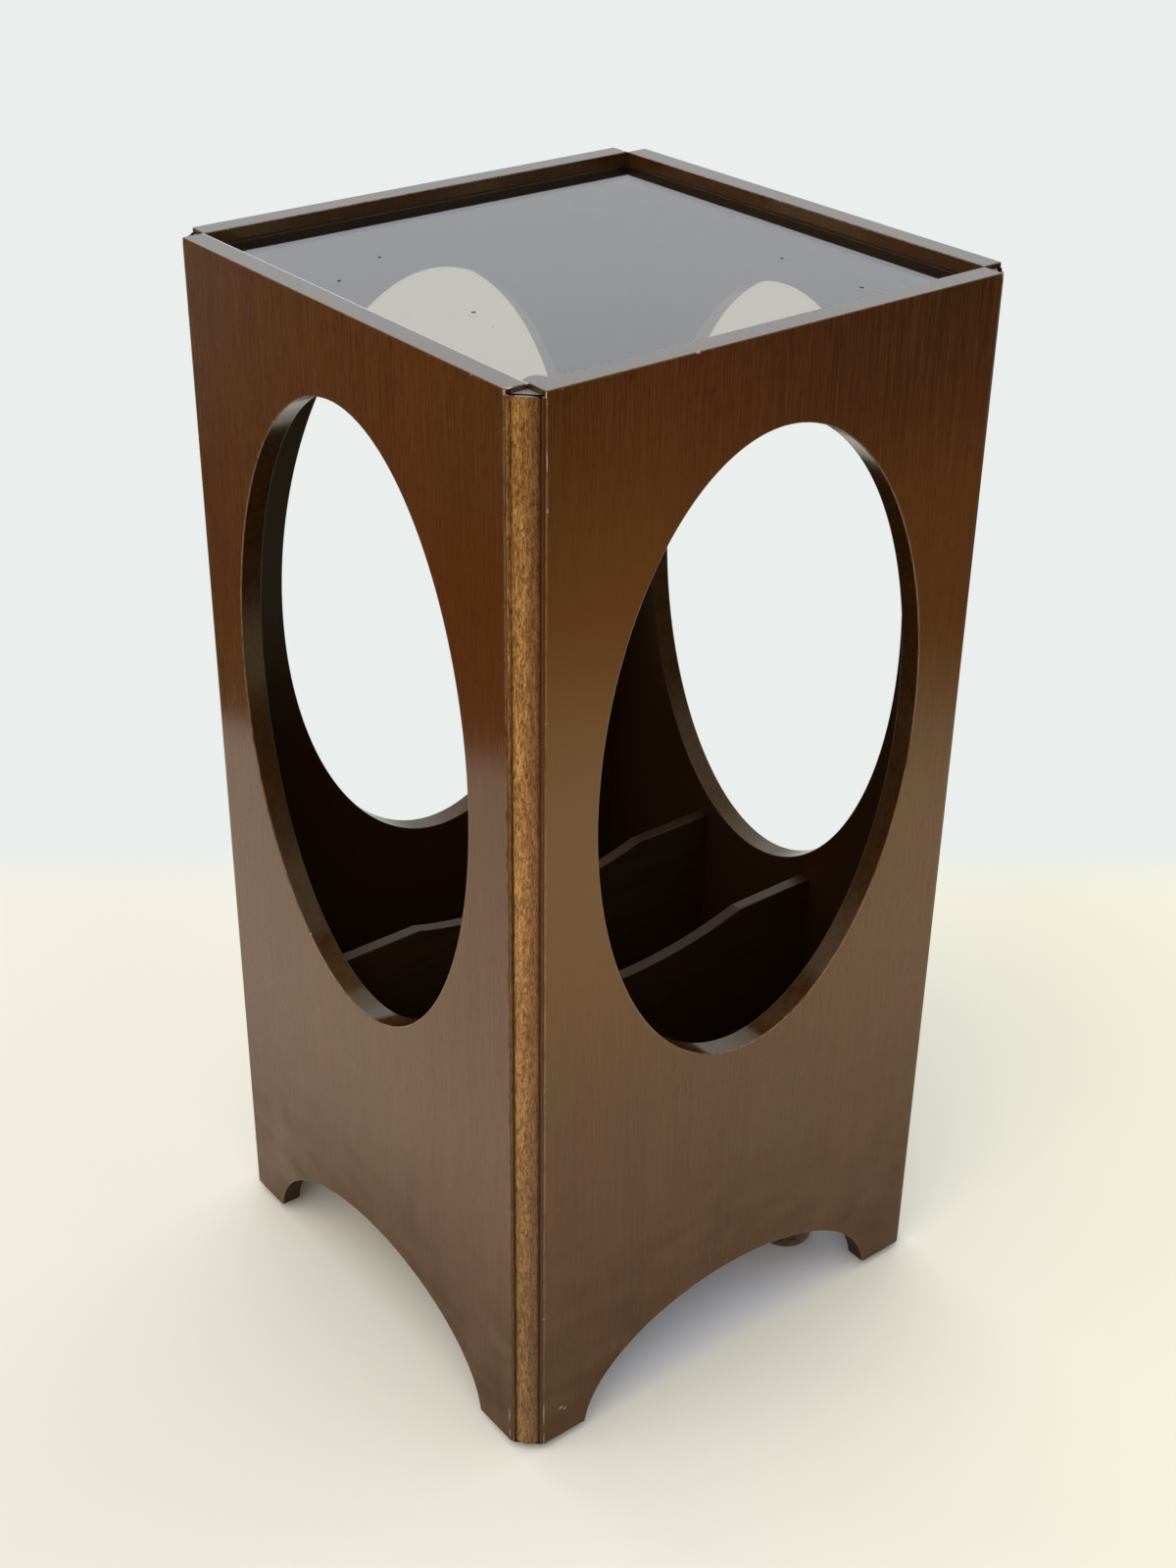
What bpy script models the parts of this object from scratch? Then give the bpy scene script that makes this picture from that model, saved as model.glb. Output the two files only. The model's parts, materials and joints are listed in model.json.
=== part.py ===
"""Record rack side table.

Four oval-cut panels on arched feet make a square rack. Moulded corner posts join them, a smoked glass top
lies loose below the rim, two dividers part the shelf into record bays, and four twin-wheel castors carry it.
Units are metres and +Z is up. The origin is on the floor, under the middle of the table.
"""

import math

import bmesh
import bpy
from mathutils import Matrix

# Panels
TABLE_WIDTH = 0.355  # along X, over the left and right panels
TABLE_DEPTH = 0.355  # along Y, over the front and back panels
PANEL_HEIGHT = 0.725
PANEL_THICKNESS = 0.015
PANEL_EDGE_ROUND = 0.003  # radius of the outer upright edges
PANEL_EDGE_STEPS = 3
FLOOR_GAP = 0.006  # the feet clear the floor by this much
OVAL_WIDTH = 0.250
OVAL_SILL = 0.254  # from the panel's lower edge to the oval
OVAL_HEAD = 0.055  # from the oval to the panel's upper edge
OVAL_STEPS = 96
FOOT_WIDTH = 0.050  # from the table's corner to the arch, on the lower edge
ARCH_LIP = 0.001  # wood left between the arch and the shelf's housing
ARCH_STEPS = 28

# Corner posts
POST_RADIUS = 0.0115
POST_STEPS = 8
POST_TOP_DROP = 0.003  # the post ends this far below the rim
TONGUE_THICKNESS = 0.004  # moulded on the post, let into the panel ends
TONGUE_LENGTH = 0.006
TONGUE_STOP = 0.012  # from the ends of the post

# Shelf and dividers
SHELF_THICKNESS = 0.015
SHELF_HOUSING = 0.005  # how far the shelf is let into each panel
SHELF_STOP = 0.012  # the housed edge ends this far from the corners
DIVIDER_THICKNESS = 0.009
DIVIDER_HEIGHT = 0.168  # at the raised ends
DIVIDER_HOUSING = 0.004
DIVIDER_DIP = 0.0145  # the middle is lower by this much
SHOULDER_LENGTH = 0.0655  # raised end, from the panel's face
DIP_STEPS = 16

# Glass top and what carries it
GLASS_THICKNESS = 0.005
GLASS_DROP = 0.008  # below the rim
GLASS_SIDE_GAP = 0.0008
GLASS_CORNER_RADIUS = 0.003
GLASS_CORNER_STEPS = 4
GLASS_ARRIS = 0.0006
BUMPER_DIAMETER = 0.015
BUMPER_HEIGHT = 0.003
BUMPER_DOME = 0.0008
BUMPER_INSET = 0.023  # from both panel faces
BUMPER_STEPS = 20
BUMPER_MARGIN = 0.0015  # the block's top runs this far past the bumper
GLASS_BLOCK_HEIGHT = 0.020
GLASS_BLOCK_STEPS = 10

# Castors
CASTOR_INSET = 0.065  # swivel axis, from both panel faces
CASTOR_TRAIL = 0.020  # axle behind the swivel axis
CASTOR_HEADING = math.radians(300)  # the way all four castors trail, from +X
CASTOR_BLOCK_MARGIN = 0.009  # the block runs this far past the castor's plate
CASTOR_BLOCK_THICKNESS = 0.019
WHEEL_DIAMETER = 0.050
WHEEL_WIDTH = 0.011
WHEEL_STEPS = 24  # a multiple of 4, so that a flat lies on the floor
WHEEL_EDGE = 0.002
WHEEL_DISH_DIAMETER = 0.038
WHEEL_DISH_DEPTH = 0.001
WHEEL_BORE_DEPTH = 0.008
WHEEL_CLEARANCE = 0.002  # to the fender
WHEEL_SIDE_GAP = 0.0005
AXLE_DIAMETER = 0.006
WEB_THICKNESS = 0.010  # middle wall between the two wheels
WEB_FOOT = 0.0045  # the wall ends this far below the axle, and this far to each side of it
HUB_DIAMETER = 0.018
FENDER_THICKNESS = 0.002
FENDER_OVERHANG = 0.0005  # past the wheels' outer faces
FENDER_START = math.radians(15)
FENDER_STEPS = 14
WELL_STEPS = 32
BOSS_DIAMETER = 0.016
BOSS_DEPTH = 0.018
BOSS_RISE = 0.0025  # above the fender
SWIVEL_GAP = 0.0006
KINGPIN_DIAMETER = 0.006
KINGPIN_LENGTH = 0.016
PLATE_SIZE = 0.042
PLATE_THICKNESS = 0.0025
PLATE_CORNER_RADIUS = 0.005
PLATE_CORNER_STEPS = 3
ROUND_STEPS = 16  # pins, bores and bosses

# Castor screws
SCREW_SPACING = 0.030
SCREW_DIAMETER = 0.0035
SCREW_HEAD_DIAMETER = 0.007
SCREW_HEAD_RIM = 0.0003
SCREW_HEAD_DEPTH = 0.002
SCREW_LENGTH = 0.014
SCREW_TIP = 0.003
SCREW_STEPS = 10

# Clearances
FIT_GAP = 0.0003  # between pieces that rest on or in each other
CUT_MARGIN = 0.002  # how far a cutter, or a shape that is joined on, runs past the face that it meets
SAME_PLACE = 0.00003  # points closer than this lie on the same face
SMOOTH_ANGLE = math.radians(35)
CIRCULAR = 0.5  # profile that makes a bevel a true round

# Places that follow from the sizes
INNER_X = TABLE_WIDTH / 2 - PANEL_THICKNESS
INNER_Y = TABLE_DEPTH / 2 - PANEL_THICKNESS
WHEEL_RADIUS = WHEEL_DIAMETER / 2
AXLE_HEIGHT = WHEEL_RADIUS * math.cos(math.pi / WHEEL_STEPS)
WELL_RADIUS = WHEEL_RADIUS + WHEEL_CLEARANCE
FENDER_RADIUS = WELL_RADIUS + FENDER_THICKNESS
WHEEL_INNER_FACE = WEB_THICKNESS / 2 + WHEEL_SIDE_GAP
FENDER_HALF_WIDTH = WHEEL_INNER_FACE + WHEEL_WIDTH + FENDER_OVERHANG
BOSS_TOP = AXLE_HEIGHT + FENDER_RADIUS + BOSS_RISE
PLATE_BOTTOM = BOSS_TOP + SWIVEL_GAP
CASTOR_BLOCK_BOTTOM = PLATE_BOTTOM + PLATE_THICKNESS + FIT_GAP
SHELF_BOTTOM = CASTOR_BLOCK_BOTTOM + CASTOR_BLOCK_THICKNESS + FIT_GAP
SHELF_TOP = SHELF_BOTTOM + SHELF_THICKNESS
ARCH_HEIGHT = SHELF_BOTTOM - FIT_GAP - FLOOR_GAP - ARCH_LIP
OVAL_HEIGHT = PANEL_HEIGHT - OVAL_SILL - OVAL_HEAD
OVAL_CENTRE = OVAL_SILL + OVAL_HEIGHT / 2
DIVIDER_BOTTOM = SHELF_TOP + FIT_GAP
DIVIDER_TOP = DIVIDER_BOTTOM + DIVIDER_HEIGHT
BAY_DEPTH = (2 * INNER_Y - 2 * DIVIDER_THICKNESS) / 3  # three bays between two dividers
DIVIDER_OFFSET = (BAY_DEPTH + DIVIDER_THICKNESS) / 2
RIM = FLOOR_GAP + PANEL_HEIGHT
GLASS_BOTTOM = RIM - GLASS_DROP - GLASS_THICKNESS
BUMPER_BOTTOM = GLASS_BOTTOM - FIT_GAP - BUMPER_HEIGHT
GLASS_BLOCK_BOTTOM = BUMPER_BOTTOM - FIT_GAP - GLASS_BLOCK_HEIGHT
GLASS_BLOCK_RADIUS = math.hypot(BUMPER_INSET, BUMPER_INSET) + BUMPER_DIAMETER / 2 + BUMPER_MARGIN
TONGUE_PLACE = POST_RADIUS / 2  # middle of the tongue, from the panels' inner faces

# Each corner's frame has its origin where two inner faces meet, and its +X and +Y run along the panels
CORNERS = {
    "front_left": (-1, -1, 0),
    "front_right": (1, -1, 90),
    "back_right": (1, 1, 180),
    "back_left": (-1, 1, 270),
}


def clear_scene():
    for obj in list(bpy.data.objects):
        bpy.data.objects.remove(obj, do_unlink=True)


def srgb(red, green, blue):
    """Linear colour of an 8-bit screen colour."""
    return [((value / 255 + 0.055) / 1.055) ** 2.4 for value in (red, green, blue)] + [1.0]


def finish(name, colour, roughness, metallic=0.0, transmission=0.0):
    material = bpy.data.materials.new(name)
    material.use_nodes = True
    shader = material.node_tree.nodes["Principled BSDF"]
    shader.inputs["Base Color"].default_value = colour
    shader.inputs["Roughness"].default_value = roughness
    shader.inputs["Metallic"].default_value = metallic
    shader.inputs["Transmission Weight"].default_value = transmission
    material.diffuse_color = colour
    return material


def finishes():
    return {
        "panel": finish("stained_veneer", srgb(84, 54, 36), 0.35),
        "post": finish("open_pored_post_wood", srgb(132, 93, 58), 0.45),
        "inside": finish("stained_board", srgb(58, 38, 26), 0.45),
        "block": finish("plain_softwood", srgb(150, 120, 84), 0.70),
        "glass": finish("smoked_glass", srgb(96, 96, 98), 0.05, transmission=0.9),
        "rubber": finish("grey_rubber", srgb(120, 120, 116), 0.70),
        "plastic": finish("brown_plastic", srgb(44, 32, 26), 0.40),
        "steel": finish("zinc_plated_steel", srgb(170, 170, 168), 0.35, metallic=1.0),
    }


def mesh_from(shape):
    """The finished mesh of a bmesh, with its faces pointing out."""
    bmesh.ops.recalc_face_normals(shape, faces=shape.faces)
    mesh = bpy.data.meshes.new("shape")
    shape.to_mesh(mesh)
    shape.free()
    return mesh


def prism(outline, low, high, along="Z"):
    """Extrudes an outline of (u, v) points. Along Z they are x and y, and along Y they are x and z."""
    shape = bmesh.new()
    if along == "Z":
        corners = [shape.verts.new((u, v, low)) for u, v in outline]
        step = (0, 0, high - low)
    else:
        corners = [shape.verts.new((u, low, v)) for u, v in outline]
        step = (0, high - low, 0)
    face = shape.faces.new(corners)
    pushed = bmesh.ops.extrude_face_region(shape, geom=[face], use_keep_orig=True)
    far_end = [item for item in pushed["geom"] if isinstance(item, bmesh.types.BMVert)]
    bmesh.ops.translate(shape, verts=far_end, vec=step)
    return shape


def box(low, high):
    outline = [(low[0], low[1]), (high[0], low[1]), (high[0], high[1]), (low[0], high[1])]
    return prism(outline, low[2], high[2])


def ellipse(centre, reach, rise, start, end, steps):
    """Points on part of an ellipse, both ends included."""
    angles = [start + (end - start) * step / steps for step in range(steps + 1)]
    return [(centre[0] + reach * math.cos(a), centre[1] + rise * math.sin(a)) for a in angles]


def arc(centre, radius, start, end, steps):
    """Points on an arc, both ends included."""
    return ellipse(centre, radius, radius, start, end, steps)


def rounded_rectangle(half_x, half_y, radius, steps):
    points = []
    for quarter, (sign_x, sign_y) in enumerate(((1, 1), (-1, 1), (-1, -1), (1, -1))):
        centre = (sign_x * (half_x - radius), sign_y * (half_y - radius))
        points += arc(centre, radius, quarter * math.pi / 2, (quarter + 1) * math.pi / 2, steps)
    return points


def turned(profile, steps, phase=0.0):
    """Turns a profile of (radius, height) points about Z. The profile starts and ends on the axis."""
    shape = bmesh.new()
    rings = []
    for radius, height in profile:
        if radius == 0:
            rings.append([shape.verts.new((0, 0, height))])
            continue
        angles = [phase + 2 * math.pi * step / steps for step in range(steps)]
        rings.append([shape.verts.new((radius * math.cos(a), radius * math.sin(a), height)) for a in angles])
    for lower, upper in zip(rings, rings[1:]):
        for step in range(steps):
            after = (step + 1) % steps
            corners = [lower[step % len(lower)], lower[after % len(lower)]]
            corners += [upper[after % len(upper)], upper[step % len(upper)]]
            shape.faces.new(list(dict.fromkeys(corners)))
    return shape


def cylinder(radius, low, high, steps=ROUND_STEPS):
    return turned([(0, low), (radius, low), (radius, high), (0, high)], steps)


def across(shape):
    """Lays a shape that was turned about Z along the Y axis, its upper end towards +Y."""
    bmesh.ops.rotate(shape, verts=shape.verts, cent=(0, 0, 0), matrix=Matrix.Rotation(-math.pi / 2, 3, "X"))
    return shape


def moved(shape, x, y, z):
    bmesh.ops.translate(shape, verts=shape.verts, vec=(x, y, z))
    return shape


def combined(mesh, shape, operation):
    """The mesh after a Boolean with another shape in the same frame."""
    body = bpy.data.objects.new("body", mesh)
    tool = bpy.data.objects.new("tool", mesh_from(shape))
    for obj in (body, tool):
        bpy.context.scene.collection.objects.link(obj)
    step = body.modifiers.new("combine", "BOOLEAN")
    step.operation = operation
    step.solver = "EXACT"
    step.object = tool
    graph = bpy.context.evaluated_depsgraph_get()
    result = bpy.data.meshes.new_from_object(body.evaluated_get(graph))
    for obj in (body, tool):
        bpy.data.objects.remove(obj, do_unlink=True)
    return result


def cut(mesh, shape):
    return combined(mesh, shape, "DIFFERENCE")


def joined(mesh, shape):
    return combined(mesh, shape, "UNION")


def place(name, mesh, material, location=(0, 0, 0), turn=0.0, parent=None):
    mesh.name = name
    mesh.materials.clear()
    mesh.materials.append(material)
    mesh.shade_smooth()
    mesh.set_sharp_from_angle(angle=SMOOTH_ANGLE)
    obj = bpy.data.objects.new(name, mesh)
    obj.location = location
    obj.rotation_euler = (0, 0, turn)
    obj.parent = parent
    bpy.context.scene.collection.objects.link(obj)
    return obj


def frame(name, location, turn, parent=None):
    empty = bpy.data.objects.new(name, None)
    empty.location = location
    empty.rotation_euler = (0, 0, turn)
    empty.parent = parent
    bpy.context.scene.collection.objects.link(empty)
    return empty


def panel_outline(side, half_length):
    """Panel seen square on, from its left foot over the arch to its right foot and round the top.

    The arch is part of an ellipse whose centre lies on the floor.
    """
    rise = ARCH_HEIGHT + FLOOR_GAP
    start = math.asin(FLOOR_GAP / rise)
    reach = (side / 2 - FOOT_WIDTH) / math.cos(start)
    arch = ellipse((0, -FLOOR_GAP), reach, rise, math.pi - start, start, ARCH_STEPS)
    feet = [(half_length, 0), (half_length, PANEL_HEIGHT), (-half_length, PANEL_HEIGHT), (-half_length, 0)]
    return arch + feet


def oval_cutter():
    oval = ellipse((0, OVAL_CENTRE), OVAL_WIDTH / 2, OVAL_HEIGHT / 2, 0, 2 * math.pi, OVAL_STEPS)
    return prism(oval[1:], -CUT_MARGIN, PANEL_THICKNESS + CUT_MARGIN, along="Y")


def round_outer_edges(shape, half_length):
    """Rounds the two upright edges of the panel's outer face."""
    edges = []
    for edge in shape.edges:
        first, second = edge.verts[0].co, edge.verts[1].co
        at_end = min(abs(first.x), abs(second.x)) > half_length - SAME_PLACE
        on_face = max(abs(first.y), abs(second.y)) < SAME_PLACE
        if at_end and on_face and abs(first.z - second.z) > PANEL_HEIGHT / 2:
            edges.append(edge)
    bmesh.ops.bevel(
        shape,
        geom=edges,
        offset=PANEL_EDGE_ROUND,
        segments=PANEL_EDGE_STEPS,
        profile=CIRCULAR,
        affect="EDGES",
    )


def panel_mesh(side, divider_places):
    """Panel in its own frame: outer face at y = 0, inner face at y = thickness, lower edge at z = 0."""
    half_length = side / 2 - PANEL_THICKNESS - FIT_GAP
    shape = prism(panel_outline(side, half_length), 0, PANEL_THICKNESS, along="Y")
    round_outer_edges(shape, half_length)
    mesh = cut(mesh_from(shape), oval_cutter())
    inner = PANEL_THICKNESS + CUT_MARGIN
    shelf_end = side / 2 - PANEL_THICKNESS - SHELF_STOP + FIT_GAP
    shelf_low = (-shelf_end, PANEL_THICKNESS - SHELF_HOUSING - FIT_GAP, SHELF_BOTTOM - FLOOR_GAP - FIT_GAP)
    shelf_high = (shelf_end, inner, SHELF_TOP - FLOOR_GAP + FIT_GAP)
    mesh = cut(mesh, box(shelf_low, shelf_high))
    tongue_middle = PANEL_THICKNESS - TONGUE_PLACE
    half_groove = TONGUE_THICKNESS / 2 + FIT_GAP
    for end in (-1, 1):
        ends = sorted((end * (half_length + CUT_MARGIN), end * (half_length - TONGUE_LENGTH)))
        low = (ends[0], tongue_middle - half_groove, TONGUE_STOP - FIT_GAP)
        high = (ends[1], tongue_middle + half_groove, PANEL_HEIGHT - POST_TOP_DROP - TONGUE_STOP + FIT_GAP)
        mesh = cut(mesh, box(low, high))
    half_housing = DIVIDER_THICKNESS / 2 + FIT_GAP
    for middle in divider_places:
        low = (middle - half_housing, PANEL_THICKNESS - DIVIDER_HOUSING - FIT_GAP, SHELF_TOP - FLOOR_GAP)
        high = (middle + half_housing, inner, DIVIDER_TOP - FLOOR_GAP + FIT_GAP)
        mesh = cut(mesh, box(low, high))
    return mesh


def add_panels(material):
    places = (-DIVIDER_OFFSET, DIVIDER_OFFSET)
    place("front_panel", panel_mesh(TABLE_WIDTH, ()), material, (0, -TABLE_DEPTH / 2, FLOOR_GAP), 0)
    place("back_panel", panel_mesh(TABLE_WIDTH, ()), material, (0, TABLE_DEPTH / 2, FLOOR_GAP), math.pi)
    right = (TABLE_WIDTH / 2, 0, FLOOR_GAP)
    left = (-TABLE_WIDTH / 2, 0, FLOOR_GAP)
    place("right_panel", panel_mesh(TABLE_DEPTH, places), material, right, math.pi / 2)
    place("left_panel", panel_mesh(TABLE_DEPTH, places), material, left, -math.pi / 2)


def post_mesh():
    """Quarter-round post in its corner's frame, with a tongue along +X and one along +Y."""
    height = PANEL_HEIGHT - POST_TOP_DROP
    quarter = [(0, 0)] + arc((0, 0), POST_RADIUS, math.pi, 1.5 * math.pi, POST_STEPS)
    mesh = mesh_from(prism(quarter, 0, height))
    near = TONGUE_PLACE - TONGUE_THICKNESS / 2
    far = TONGUE_PLACE + TONGUE_THICKNESS / 2
    low, high = TONGUE_STOP, height - TONGUE_STOP
    mesh = joined(mesh, box((-CUT_MARGIN, -far, low), (TONGUE_LENGTH, -near, high)))
    return joined(mesh, box((-far, -CUT_MARGIN, low), (-near, TONGUE_LENGTH, high)))


def shelf_mesh():
    """Shelf whose four edges are let into the panels and stop short of the corners."""
    face_x, face_y = INNER_X - FIT_GAP, INNER_Y - FIT_GAP
    stop_x, stop_y = INNER_X - SHELF_STOP, INNER_Y - SHELF_STOP
    edge_x, edge_y = INNER_X + SHELF_HOUSING, INNER_Y + SHELF_HOUSING
    quarter = [(edge_x, stop_y), (face_x, stop_y), (face_x, face_y), (stop_x, face_y), (stop_x, edge_y)]
    outline = list(quarter)
    outline += [(-x, y) for x, y in reversed(quarter)]
    outline += [(-x, -y) for x, y in quarter]
    outline += [(x, -y) for x, y in reversed(quarter)]
    return mesh_from(prism(outline, SHELF_BOTTOM, SHELF_TOP))


def divider_mesh():
    """Divider seen from the front: raised ends, and a shallow arc that dips between them."""
    end = INNER_X + DIVIDER_HOUSING
    half_dip = INNER_X - SHOULDER_LENGTH
    radius = (half_dip**2 + DIVIDER_DIP**2) / (2 * DIVIDER_DIP)
    half_turn = math.asin(half_dip / radius)
    lowest = -math.pi / 2
    centre = (0, DIVIDER_TOP - DIVIDER_DIP + radius)
    dip = arc(centre, radius, lowest - half_turn, lowest + half_turn, DIP_STEPS)
    ends = [(end, DIVIDER_TOP), (end, DIVIDER_BOTTOM), (-end, DIVIDER_BOTTOM), (-end, DIVIDER_TOP)]
    return mesh_from(prism(dip + ends, -DIVIDER_THICKNESS / 2, DIVIDER_THICKNESS / 2, along="Y"))


def add_shelf_and_dividers(material):
    place("base_shelf", shelf_mesh(), material)
    place("front_divider", divider_mesh(), material, (0, -DIVIDER_OFFSET, 0))
    place("rear_divider", divider_mesh(), material, (0, DIVIDER_OFFSET, 0))


def add_glass(material):
    half_x, half_y = INNER_X - GLASS_SIDE_GAP, INNER_Y - GLASS_SIDE_GAP
    outline = rounded_rectangle(half_x, half_y, GLASS_CORNER_RADIUS, GLASS_CORNER_STEPS)
    shape = prism(outline, 0, GLASS_THICKNESS)
    level = [edge for edge in shape.edges if edge.verts[0].co.z == edge.verts[1].co.z]
    bmesh.ops.bevel(shape, geom=level, offset=GLASS_ARRIS, segments=1, affect="EDGES")
    place("glass_top", mesh_from(shape), material, (0, 0, GLASS_BOTTOM))


def glass_block_mesh():
    """Quarter-round block that fits into the corner under the glass."""
    centre = (FIT_GAP, FIT_GAP)
    outline = [centre] + arc(centre, GLASS_BLOCK_RADIUS, 0, math.pi / 2, GLASS_BLOCK_STEPS)
    return mesh_from(prism(outline, 0, GLASS_BLOCK_HEIGHT))


def bumper_mesh():
    radius = BUMPER_DIAMETER / 2
    side = BUMPER_HEIGHT - BUMPER_DOME
    profile = [(0, 0), (radius, 0), (radius, side), (radius - BUMPER_DOME, BUMPER_HEIGHT), (0, BUMPER_HEIGHT)]
    return mesh_from(turned(profile, BUMPER_STEPS))


def screw_profile(extra):
    """Countersunk screw with its head down, or with a clearance the hole that it needs."""
    head = SCREW_HEAD_DIAMETER / 2 + extra
    shank = SCREW_DIAMETER / 2 + extra
    return [
        (0, -CUT_MARGIN if extra else 0),
        (head, -CUT_MARGIN if extra else 0),
        (head, SCREW_HEAD_RIM),
        (shank, SCREW_HEAD_DEPTH),
        (shank, SCREW_LENGTH - SCREW_TIP + extra),
        (0, SCREW_LENGTH + extra),
    ]


def screw_places():
    half = SCREW_SPACING / 2
    return [(CASTOR_INSET + x, CASTOR_INSET + y) for x in (-half, half) for y in (-half, half)]


def castor_block_mesh():
    """Block between shelf and castor, with pilot holes for the screws."""
    end = CASTOR_INSET + PLATE_SIZE / 2 + CASTOR_BLOCK_MARGIN
    low = (FIT_GAP, FIT_GAP, CASTOR_BLOCK_BOTTOM)
    mesh = mesh_from(box(low, (end, end, CASTOR_BLOCK_BOTTOM + CASTOR_BLOCK_THICKNESS)))
    for x, y in screw_places():
        mesh = cut(mesh, moved(turned(screw_profile(FIT_GAP), SCREW_STEPS), x, y, PLATE_BOTTOM))
    return mesh


def castor_plate_mesh():
    """Square plate with its swivel pin and countersunk holes, in its corner's frame."""
    half = PLATE_SIZE / 2
    outline = rounded_rectangle(half, half, PLATE_CORNER_RADIUS, PLATE_CORNER_STEPS)
    plate = moved(prism(outline, 0, PLATE_THICKNESS), CASTOR_INSET, CASTOR_INSET, PLATE_BOTTOM)
    mesh = mesh_from(plate)
    pin = cylinder(KINGPIN_DIAMETER / 2, -KINGPIN_LENGTH, PLATE_THICKNESS / 2)
    mesh = joined(mesh, moved(pin, CASTOR_INSET, CASTOR_INSET, PLATE_BOTTOM))
    for x, y in screw_places():
        mesh = cut(mesh, moved(turned(screw_profile(FIT_GAP), SCREW_STEPS), x, y, PLATE_BOTTOM))
    return mesh


def castor_hood_mesh():
    """Fender, middle wall and swivel boss. The swivel axis is Z, and the axle lies along Y at +X."""
    axle = (CASTOR_TRAIL, AXLE_HEIGHT)
    hub_radius = HUB_DIAMETER / 2
    foot = AXLE_HEIGHT - WEB_FOOT
    fan = arc(axle, FENDER_RADIUS, FENDER_START, math.pi - FENDER_START, FENDER_STEPS)
    fan += [(CASTOR_TRAIL - WEB_FOOT, foot), (CASTOR_TRAIL + WEB_FOOT, foot)]
    mesh = mesh_from(prism(fan, -FENDER_HALF_WIDTH, FENDER_HALF_WIDTH, along="Y"))
    half_web = WEB_THICKNESS / 2
    hub = across(cylinder(hub_radius, -WHEEL_INNER_FACE, WHEEL_INNER_FACE))
    mesh = joined(mesh, moved(hub, CASTOR_TRAIL, 0, AXLE_HEIGHT))
    mesh = joined(mesh, cylinder(BOSS_DIAMETER / 2, BOSS_TOP - BOSS_DEPTH, BOSS_TOP))
    for side in (-1, 1):
        near, far = sorted((side * half_web, side * (FENDER_HALF_WIDTH + CUT_MARGIN)))
        well = across(cylinder(WELL_RADIUS, near, far, WELL_STEPS))
        mesh = cut(mesh, moved(well, CASTOR_TRAIL, 0, AXLE_HEIGHT))
    bore = across(cylinder(AXLE_DIAMETER / 2 + FIT_GAP, -FENDER_HALF_WIDTH, FENDER_HALF_WIDTH))
    mesh = cut(mesh, moved(bore, CASTOR_TRAIL, 0, AXLE_HEIGHT))
    socket_floor = PLATE_BOTTOM - KINGPIN_LENGTH - FIT_GAP
    return cut(mesh, cylinder(KINGPIN_DIAMETER / 2 + FIT_GAP, socket_floor, BOSS_TOP + CUT_MARGIN))


def axle_mesh():
    half = WHEEL_INNER_FACE + WHEEL_BORE_DEPTH - FIT_GAP
    return mesh_from(across(cylinder(AXLE_DIAMETER / 2, -half, half)))


def wheel_mesh(side):
    """Wheel round the Y axis, on one side of the middle wall, with a blind bore and a dished face."""
    rim = WHEEL_RADIUS
    bore = AXLE_DIAMETER / 2 + FIT_GAP
    dish = WHEEL_DISH_DIAMETER / 2
    corner = WHEEL_EDGE * (1 - math.cos(math.pi / 4))
    profile = [(0, WHEEL_BORE_DEPTH), (bore, WHEEL_BORE_DEPTH), (bore, 0)]
    profile += [(rim - WHEEL_EDGE, 0), (rim - corner, corner), (rim, WHEEL_EDGE)]
    profile += [(rim, WHEEL_WIDTH - WHEEL_EDGE), (rim - corner, WHEEL_WIDTH - corner)]
    profile += [(rim - WHEEL_EDGE, WHEEL_WIDTH), (dish, WHEEL_WIDTH)]
    dish_floor = WHEEL_WIDTH - WHEEL_DISH_DEPTH
    profile += [(dish - WHEEL_DISH_DEPTH, dish_floor), (0, dish_floor)]
    shape = turned(profile, WHEEL_STEPS, math.pi / WHEEL_STEPS)
    shape = across(moved(shape, 0, 0, WHEEL_INNER_FACE))
    if side < 0:
        bmesh.ops.rotate(shape, verts=shape.verts, cent=(0, 0, 0), matrix=Matrix.Rotation(math.pi, 3, "Z"))
    return mesh_from(shape)


def add_castor(corner_name, corner, corner_turn, look):
    """One castor: plate and screws on the corner's frame, moving pieces on a frame at the swivel axis."""
    name = f"{corner_name}_castor"
    place(f"{name}_plate", castor_plate_mesh(), look["steel"], parent=corner)
    screw = mesh_from(turned(screw_profile(0), SCREW_STEPS))
    for number, (x, y) in enumerate(screw_places(), 1):
        place(f"{name}_screw_{number}", screw.copy(), look["steel"], (x, y, PLATE_BOTTOM), parent=corner)
    swivel = frame(f"{name}_swivel", (CASTOR_INSET, CASTOR_INSET, 0), CASTOR_HEADING - corner_turn, corner)
    place(f"{name}_hood", castor_hood_mesh(), look["plastic"], parent=swivel)
    axle = (CASTOR_TRAIL, 0, AXLE_HEIGHT)
    place(f"{name}_axle", axle_mesh(), look["steel"], axle, parent=swivel)
    place(f"{name}_left_wheel", wheel_mesh(-1), look["plastic"], axle, parent=swivel)
    place(f"{name}_right_wheel", wheel_mesh(1), look["plastic"], axle, parent=swivel)


def add_corner(name, sign_x, sign_y, degrees, look):
    """What repeats in each corner: post, glass carrier, castor block and castor."""
    turn = math.radians(degrees)
    corner = frame(f"{name}_corner", (sign_x * INNER_X, sign_y * INNER_Y, 0), turn)
    place(f"{name}_post", post_mesh(), look["post"], (0, 0, FLOOR_GAP), parent=corner)
    block_place = (0, 0, GLASS_BLOCK_BOTTOM)
    place(f"{name}_glass_block", glass_block_mesh(), look["inside"], block_place, parent=corner)
    bumper_place = (BUMPER_INSET, BUMPER_INSET, BUMPER_BOTTOM)
    place(f"{name}_glass_bumper", bumper_mesh(), look["rubber"], bumper_place, parent=corner)
    place(f"{name}_castor_block", castor_block_mesh(), look["block"], parent=corner)
    add_castor(name, corner, turn, look)


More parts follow.
